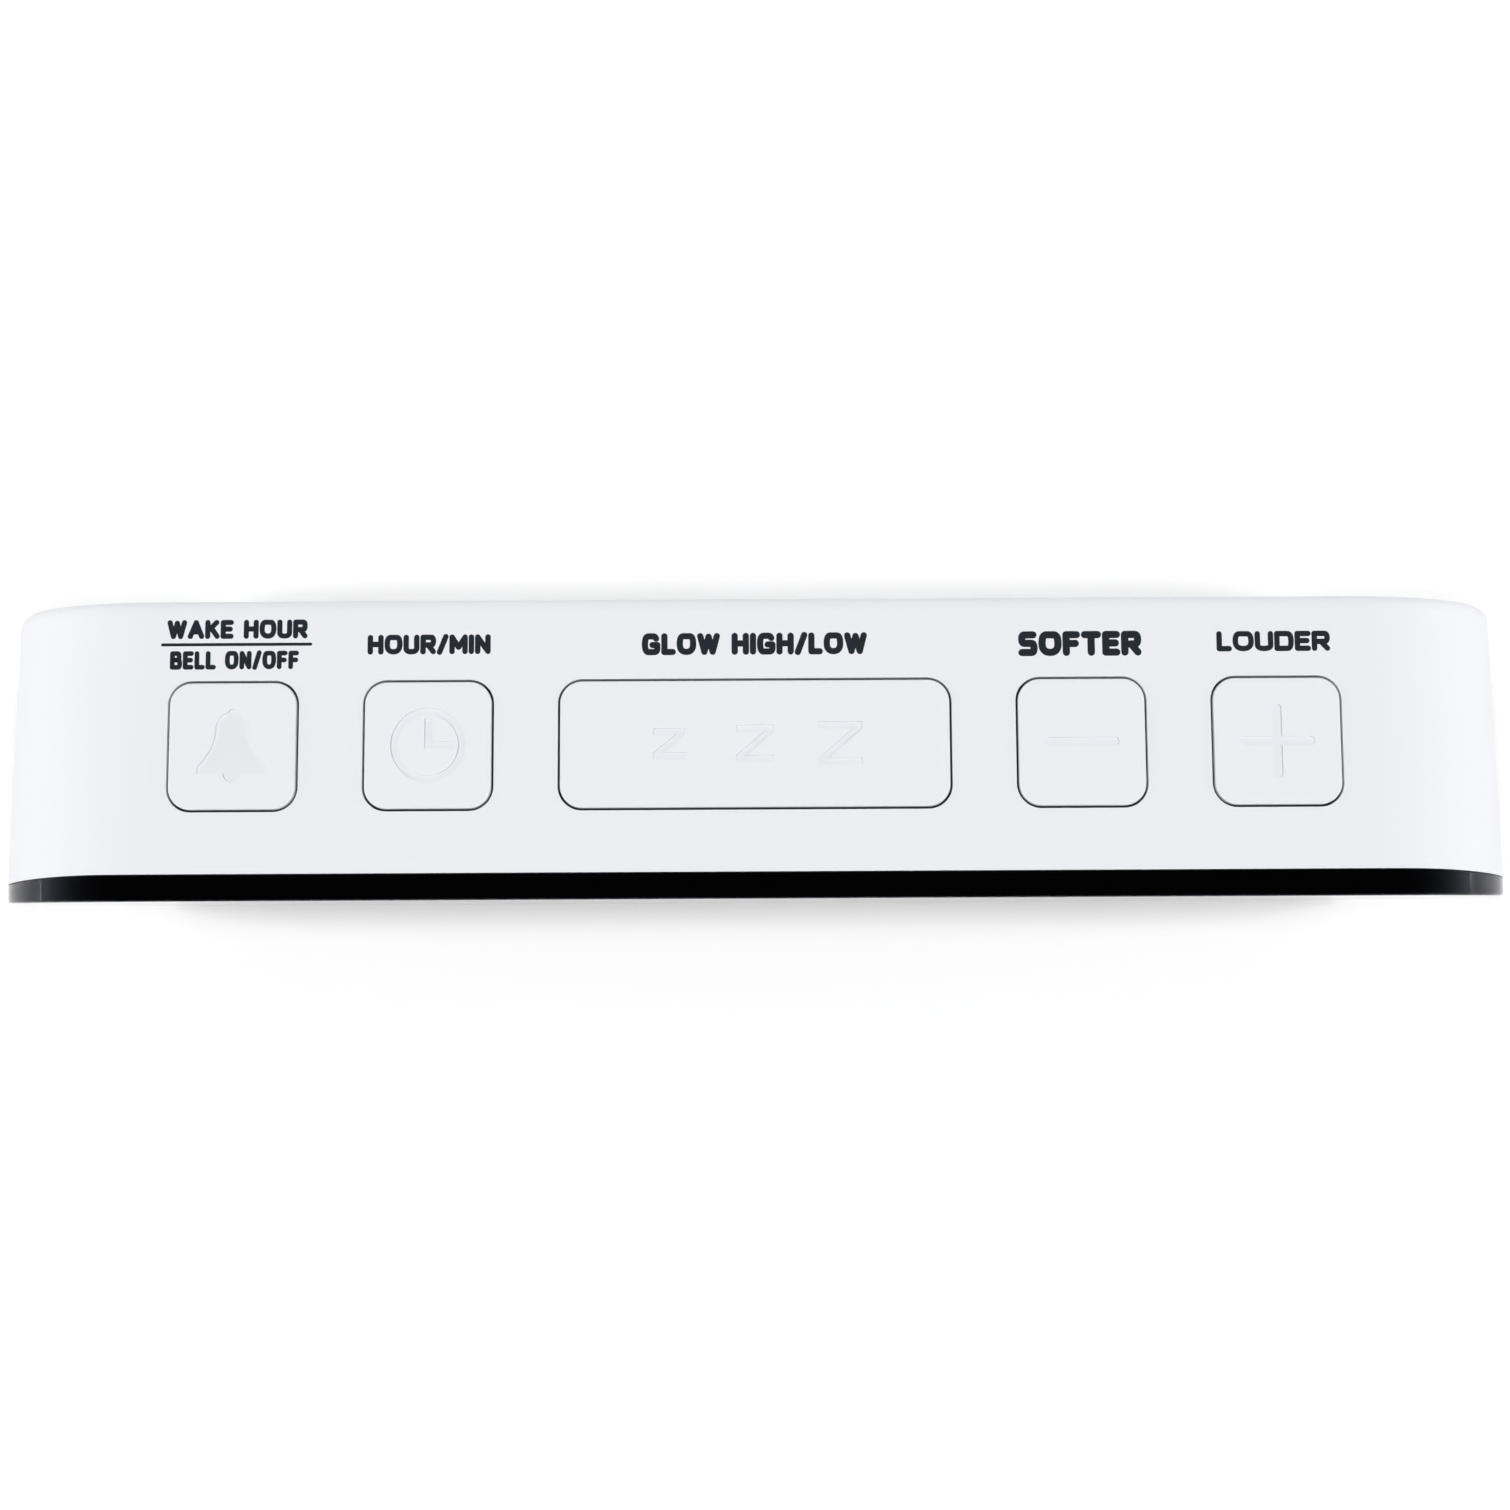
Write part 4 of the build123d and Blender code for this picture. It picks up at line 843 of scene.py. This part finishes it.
class CLOCK_OT_mark_rear(bpy.types.Operator):
    """Moulds the arrow on the battery door and the polarity sign by the socket"""

    bl_idname = "clock.mark_rear"
    bl_label = "Mark Rear"

    def ring(self, x, radius, opening=0.0):
        """Closed ring, or one with an opening to the right, as one curved stroke."""
        count = 12
        turn = (2 * math.pi - 2 * opening) / count
        angles = [opening + turn * step for step in range(count + 1)]
        return [(x + radius * math.cos(angle), radius * math.sin(angle)) for angle in angles], True

    def execute(self, context):
        look = context.scene.clock_print
        left, up = Vector((-1.0, 0.0, 0.0)), Vector((0.0, 0.0, 1.0))
        abs_plastic = bpy.data.materials["satin_white_abs"]
        # Arrow that points down, above the door's lower edge
        width, rise_above = 0.7 * MM, 9.0 * MM
        span, rise = 3.0 * MM, 1.6 * MM
        chevron = [([(-span, rise), (0.0, 0.0)], False), ([(0.0, 0.0), (span, rise)], False)]
        arrow = pen("door_arrow", chevron, width)
        middle_x = (DOOR_LOW.x + DOOR_HIGH.x) / 2
        place = Vector((middle_x, DOOR_HIGH.y, DOOR_LOW.z + rise_above))
        lay(arrow, place, left, up, look.mark_height, width)
        settle(arrow, "door_arrow", "battery_lid", abs_plastic)
        # Polarity sign below the socket: a minus, an open ring round the pin and a plus, joined by lines
        width, aside, drop = 0.35 * MM, 1.5 * MM, 4.0 * MM
        pitch, radius = 4.2 * MM, 1.15 * MM
        bar, pin = 0.55 * MM, 0.1 * MM
        opening = 0.9
        strokes = [
            self.ring(-pitch, radius),
            self.ring(0.0, radius, opening),
            self.ring(pitch, radius),
            ([(-pitch - bar, 0.0), (-pitch + bar, 0.0)], False),
            ([(pitch - bar, 0.0), (pitch + bar, 0.0)], False),
            ([(pitch, -bar), (pitch, bar)], False),
            ([(-pitch + radius, 0.0), (-radius, 0.0)], False),
            ([(pin, 0.0), (pitch - radius, 0.0)], False),
        ]
        sign = pen("polarity_sign", strokes, width)
        middle_x = (SOCKET_LOW.x + SOCKET_HIGH.x) / 2
        place = Vector((middle_x + aside, DOOR_HIGH.y, SOCKET_LOW.z - drop))
        lay(sign, place, left, up, look.mark_height, width)
        settle(sign, "polarity_sign", "clock", abs_plastic)
        return {"FINISHED"}


class CLOCK_OT_finish_inside(bpy.types.Operator):
    """Finishes the boards, the battery, the speaker, the socket and the fasteners"""

    bl_idname = "clock.finish_inside"
    bl_label = "Finish Inside"

    def execute(self, context):
        finish("circuit_board", solder_mask())
        finish("cell_jacket", cell_jacket())
        # Plastics and resins: pale and deep tone, drift, grain and its depth in millimetres, gloss range
        plastics = {
            "lamp_resin": ("clear_lamp_epoxy", "#E9E4C8", "#D8D2B0", 2.0, 0.5, 0.002, (0.15, 0.25)),
            "black_resin": ("black_mould_resin", "#1E1F21", "#151617", 3.0, 0.2, 0.01, (0.5, 0.65)),
            "capacitor_sleeve": ("blue_shrink_sleeve", "#24347A", "#1C2860", 4.0, 0.6, 0.004, (0.25, 0.35)),
            "chip_ceramic": ("black_glazed_ceramic", "#2A2A2C", "#1C1C1E", 1.0, 0.2, 0.002, (0.3, 0.4)),
            "switch_plastic": ("black_nylon", "#1C1D1F", "#141516", 5.0, 0.3, 0.006, (0.45, 0.6)),
            "plunger_plastic": ("red_acetal", "#CB5046", "#B8463D", 3.0, 0.3, 0.004, (0.35, 0.45)),
            "lead_sleeve": ("black_pvc_sleeve", "#38393B", "#2E2F31", 6.0, 0.5, 0.004, (0.35, 0.5)),
            "socket_plastic": ("black_pbt", "#1A1B1C", "#131415", 5.0, 0.3, 0.006, (0.4, 0.55)),
            "black_paper": ("pressed_cone_paper", "#2A2A2A", "#191919", 0.9, 0.35, 0.04, (0.8, 0.95)),
            "ferrite": ("sintered_ferrite", "#3A3B3D", "#2A2B2C", 2.0, 0.25, 0.02, (0.6, 0.75)),
        }
        for slot, (name, pale, deep, *rest) in plastics.items():
            finish(slot, moulded(name, linear(pale), linear(deep), *rest))
        # Metals: pale and deep tone, streak and its depth in millimetres, gloss range
        metals = {
            "zinc_plated_steel": ("bright_zinc_plate", "#D3D6D9", "#B4B9BF", 0.6, 0.002, (0.25, 0.4)),
            "nickel_plated_steel": ("nickel_plate", "#DAD7CF", "#C0BCB2", 0.5, 0.002, (0.18, 0.3)),
            "pressed_steel": ("galvanised_pressing", "#B9BCBE", "#999DA1", 1.2, 0.004, (0.35, 0.5)),
        }
        for slot, (name, pale, deep, *rest) in metals.items():
            finish(slot, plated(name, linear(pale), linear(deep), *rest))
        # Ribbon of ten cores, and a coil of enamelled wire
        first, second = linear("#8F9398"), linear("#B4B8BC")
        cores = {"pitch_mm": 1.0, "axis": "X", "depth_mm": 0.1, "matt": (0.4, 0.55)}
        finish("grey_ribbon", striped("grey_pvc_ribbon", first, second, **cores))
        first, second = linear("#8A4A22"), linear("#C87A42")
        turns = {"pitch_mm": 0.2, "axis": "Y", "depth_mm": 0.05, "matt": (0.25, 0.4), "metallic": 1.0}
        finish("copper_wire", striped("enamelled_copper_wire", first, second, **turns))
        return {"FINISHED"}


class CLOCK_OT_set_stage(bpy.types.Operator):
    """Sets the floor, the lamps, the surroundings and the camera"""

    bl_idname = "clock.set_stage"
    bl_label = "Set Stage"

    def lay_floor(self):
        """Wide pale floor that keeps the shadow, and is white where nothing shades it."""
        width, whitening = 8.0, 0.06
        deselect()
        bpy.ops.mesh.primitive_plane_add(size=width)
        floor = bpy.context.object
        floor.name = "floor"
        # Seamless studio paper: flat white, with a fibre that hardly shows
        material, tree, place = begin("white_matt_paper")
        fibre = add(tree, "ShaderNodeTexNoise", {"Vector": place, "Scale": per(2.0), "Detail": 2.0})
        tones = {6: linear("#F7F7F7"), 7: linear("#FBFBFB")}
        colour = add(tree, "ShaderNodeMix", {0: fibre, **tones}, data_type="RGBA")
        path = add(tree, "ShaderNodeLightPath").outputs
        seen = path["Is Camera Ray"]
        for ray in ("Is Glossy Ray", "Is Transmission Ray"):
            seen = add(tree, "ShaderNodeMath", {0: seen, 1: path[ray]}, operation="ADD")
        lift = add(tree, "ShaderNodeMapRange", {"Value": seen, "To Max": whitening})
        look = {"Base Color": colour, "Roughness": 0.9, "Specular IOR Level": 0.0}
        look.update({"Emission Color": linear("#FFFFFF"), "Emission Strength": lift})
        end(tree, add(tree, "ShaderNodeBsdfPrincipled", look))
        floor.data.materials.append(material)

    def hang(self, name, data, place, aim):
        """Hangs a lamp that lights, but isn't seen itself."""
        lamp = bpy.data.objects.new(name, data)
        bpy.context.collection.objects.link(lamp)
        lamp.location = place
        lamp.rotation_euler = (aim - place).to_track_quat("-Z", "Y").to_euler()
        lamp.visible_camera = False
        lamp.visible_glossy = False
        lamp.visible_transmission = False

    def light_world(self, level):
        """White surroundings, which glossy faces see with the dark ceiling of a studio."""
        fall, dark = 3.0, 0.03
        world = bpy.data.worlds.new("studio")
        bpy.context.scene.world = world
        world.use_nodes = True
        tree = world.node_tree
        tree.nodes.clear()
        path = add(tree, "ShaderNodeLightPath").outputs
        rays = {0: path["Is Camera Ray"], 1: path["Is Transmission Ray"]}
        seen = add(tree, "ShaderNodeMath", rays, operation="ADD", use_clamp=True)
        level = add(tree, "ShaderNodeMapRange", {"Value": seen, "To Min": level, "To Max": 1.0})
        direction = add(tree, "ShaderNodeTexCoord").outputs["Generated"]
        height = add(tree, "ShaderNodeSeparateXYZ", {"Vector": direction}).outputs["Z"]
        low = add(tree, "ShaderNodeMapRange", {"Value": height, "To Min": 1.0, "To Max": 0.0})
        low = add(tree, "ShaderNodeMath", {0: low, 1: fall}, operation="POWER")
        ceiling = add(tree, "ShaderNodeMapRange", {"Value": low, "To Min": dark, "To Max": 1.0})
        choice = {0: path["Is Glossy Ray"], 2: level, 3: ceiling}
        level = add(tree, "ShaderNodeMix", choice, data_type="FLOAT")
        backdrop = add(tree, "ShaderNodeBackground", {"Color": linear("#FFFFFF"), "Strength": level})
        add(tree, "ShaderNodeOutputWorld", {"Surface": backdrop})

    def execute(self, context):
        look = context.scene.clock_stage
        self.lay_floor()
        middle = Vector((0.0, 0.0, CASE_HIGH.z / 2))
        # Four lights above lean to the sides and to the front corners, so the floor is shaded towards the
        # ends: name, lean to the right and to the rear in shares of the spread, share of the light
        leans = (
            ("left", -1, 0.065, 0.27),
            ("right", 1, 0.065, 0.27),
            ("front_left", -0.9, -0.55, 0.23),
            ("front_right", 0.9, -0.55, 0.23),
        )
        for name, x, y, share in leans:
            above = bpy.data.lights.new(f"{name}_overhead_light", "SUN")
            above.angle = look.softness
            # A sun of strength pi makes level white paper white
            above.energy = look.overhead * share * math.pi
            place = Vector((x * look.spread, y * look.spread, 1.0))
            self.hang(f"{name}_overhead_light", above, place, Vector())
        # Low softboxes: strong at the two ends, which stay pale, and weak in front and behind
        boxes = (("left", -1, 0, 1.0), ("right", 1, 0, 1.0), ("front", 0, -1, 0.4), ("rear", 0, 1, 0.3))
        distance, height, size = 1.2, 0.2, 0.5
        for name, x, y, share in boxes:
            place = Vector((distance * x, distance * y, height))
            box = bpy.data.lights.new(f"{name}_softbox", "AREA")
            box.size = size
            # The power for white paper at the clock's middle grows with the square of the distance
            box.energy = look.sidelight * share * math.pi**2 * (place - middle).length_squared
            self.hang(f"{name}_softbox", box, place, middle)
        self.light_world(look.ambient)
        # Camera above the top, at the photograph's viewing angle
        data = bpy.data.cameras.new("camera")
        data.sensor_width = 36.0
        data.lens = look.focal_length
        data.clip_start = 10.0 * MM
        camera = bpy.data.objects.new("camera", data)
        context.collection.objects.link(camera)
        camera.location = (0.0, look.camera_y, look.camera_height)
        turn = Matrix.Rotation(look.camera_tilt, 3, "X") @ Matrix.Rotation(-look.camera_roll, 3, "Z")
        camera.rotation_euler = turn.to_euler()
        context.scene.camera = camera
        context.scene.view_settings.view_transform = "Standard"
        return {"FINISHED"}


class CLOCK_PT_panel(bpy.types.Panel):
    """The clock's settings and steps"""

    bl_idname = "CLOCK_PT_panel"
    bl_label = "Alarm Clock"
    bl_space_type = "VIEW_3D"
    bl_region_type = "UI"
    bl_category = "Clock"

    def draw(self, context):
        for group in ("clock_finish", "clock_figures", "clock_print", "clock_stage"):
            settings = getattr(context.scene, group)
            box = self.layout.box()
            for name in settings.__annotations__:
                box.prop(settings, name)
        for operator in OPERATORS:
            self.layout.operator(operator.bl_idname)


SETTINGS = (ClockFinish, ClockFigures, ClockPrint, ClockStage)
OPERATORS = (
    CLOCK_OT_finish_mouldings,
    CLOCK_OT_finish_front,
    CLOCK_OT_light_figures,
    CLOCK_OT_print_words,
    CLOCK_OT_mark_rear,
    CLOCK_OT_finish_inside,
    CLOCK_OT_set_stage,
)


def register():
    for item in (*SETTINGS, *OPERATORS, CLOCK_PT_panel):
        bpy.utils.register_class(item)
    bpy.types.Scene.clock_finish = bpy.props.PointerProperty(type=ClockFinish)
    bpy.types.Scene.clock_figures = bpy.props.PointerProperty(type=ClockFigures)
    bpy.types.Scene.clock_print = bpy.props.PointerProperty(type=ClockPrint)
    bpy.types.Scene.clock_stage = bpy.props.PointerProperty(type=ClockStage)


def unregister():
    del bpy.types.Scene.clock_stage
    del bpy.types.Scene.clock_print
    del bpy.types.Scene.clock_figures
    del bpy.types.Scene.clock_finish
    for item in reversed((*SETTINGS, *OPERATORS, CLOCK_PT_panel)):
        bpy.utils.unregister_class(item)


def main():
    """Makes the whole scene."""
    register()
    bpy.ops.clock.finish_mouldings()
    bpy.ops.clock.finish_front()
    bpy.ops.clock.light_figures()
    bpy.ops.clock.print_words()
    bpy.ops.clock.mark_rear()
    bpy.ops.clock.finish_inside()
    bpy.ops.clock.set_stage()


if __name__ == "__main__":
    main()
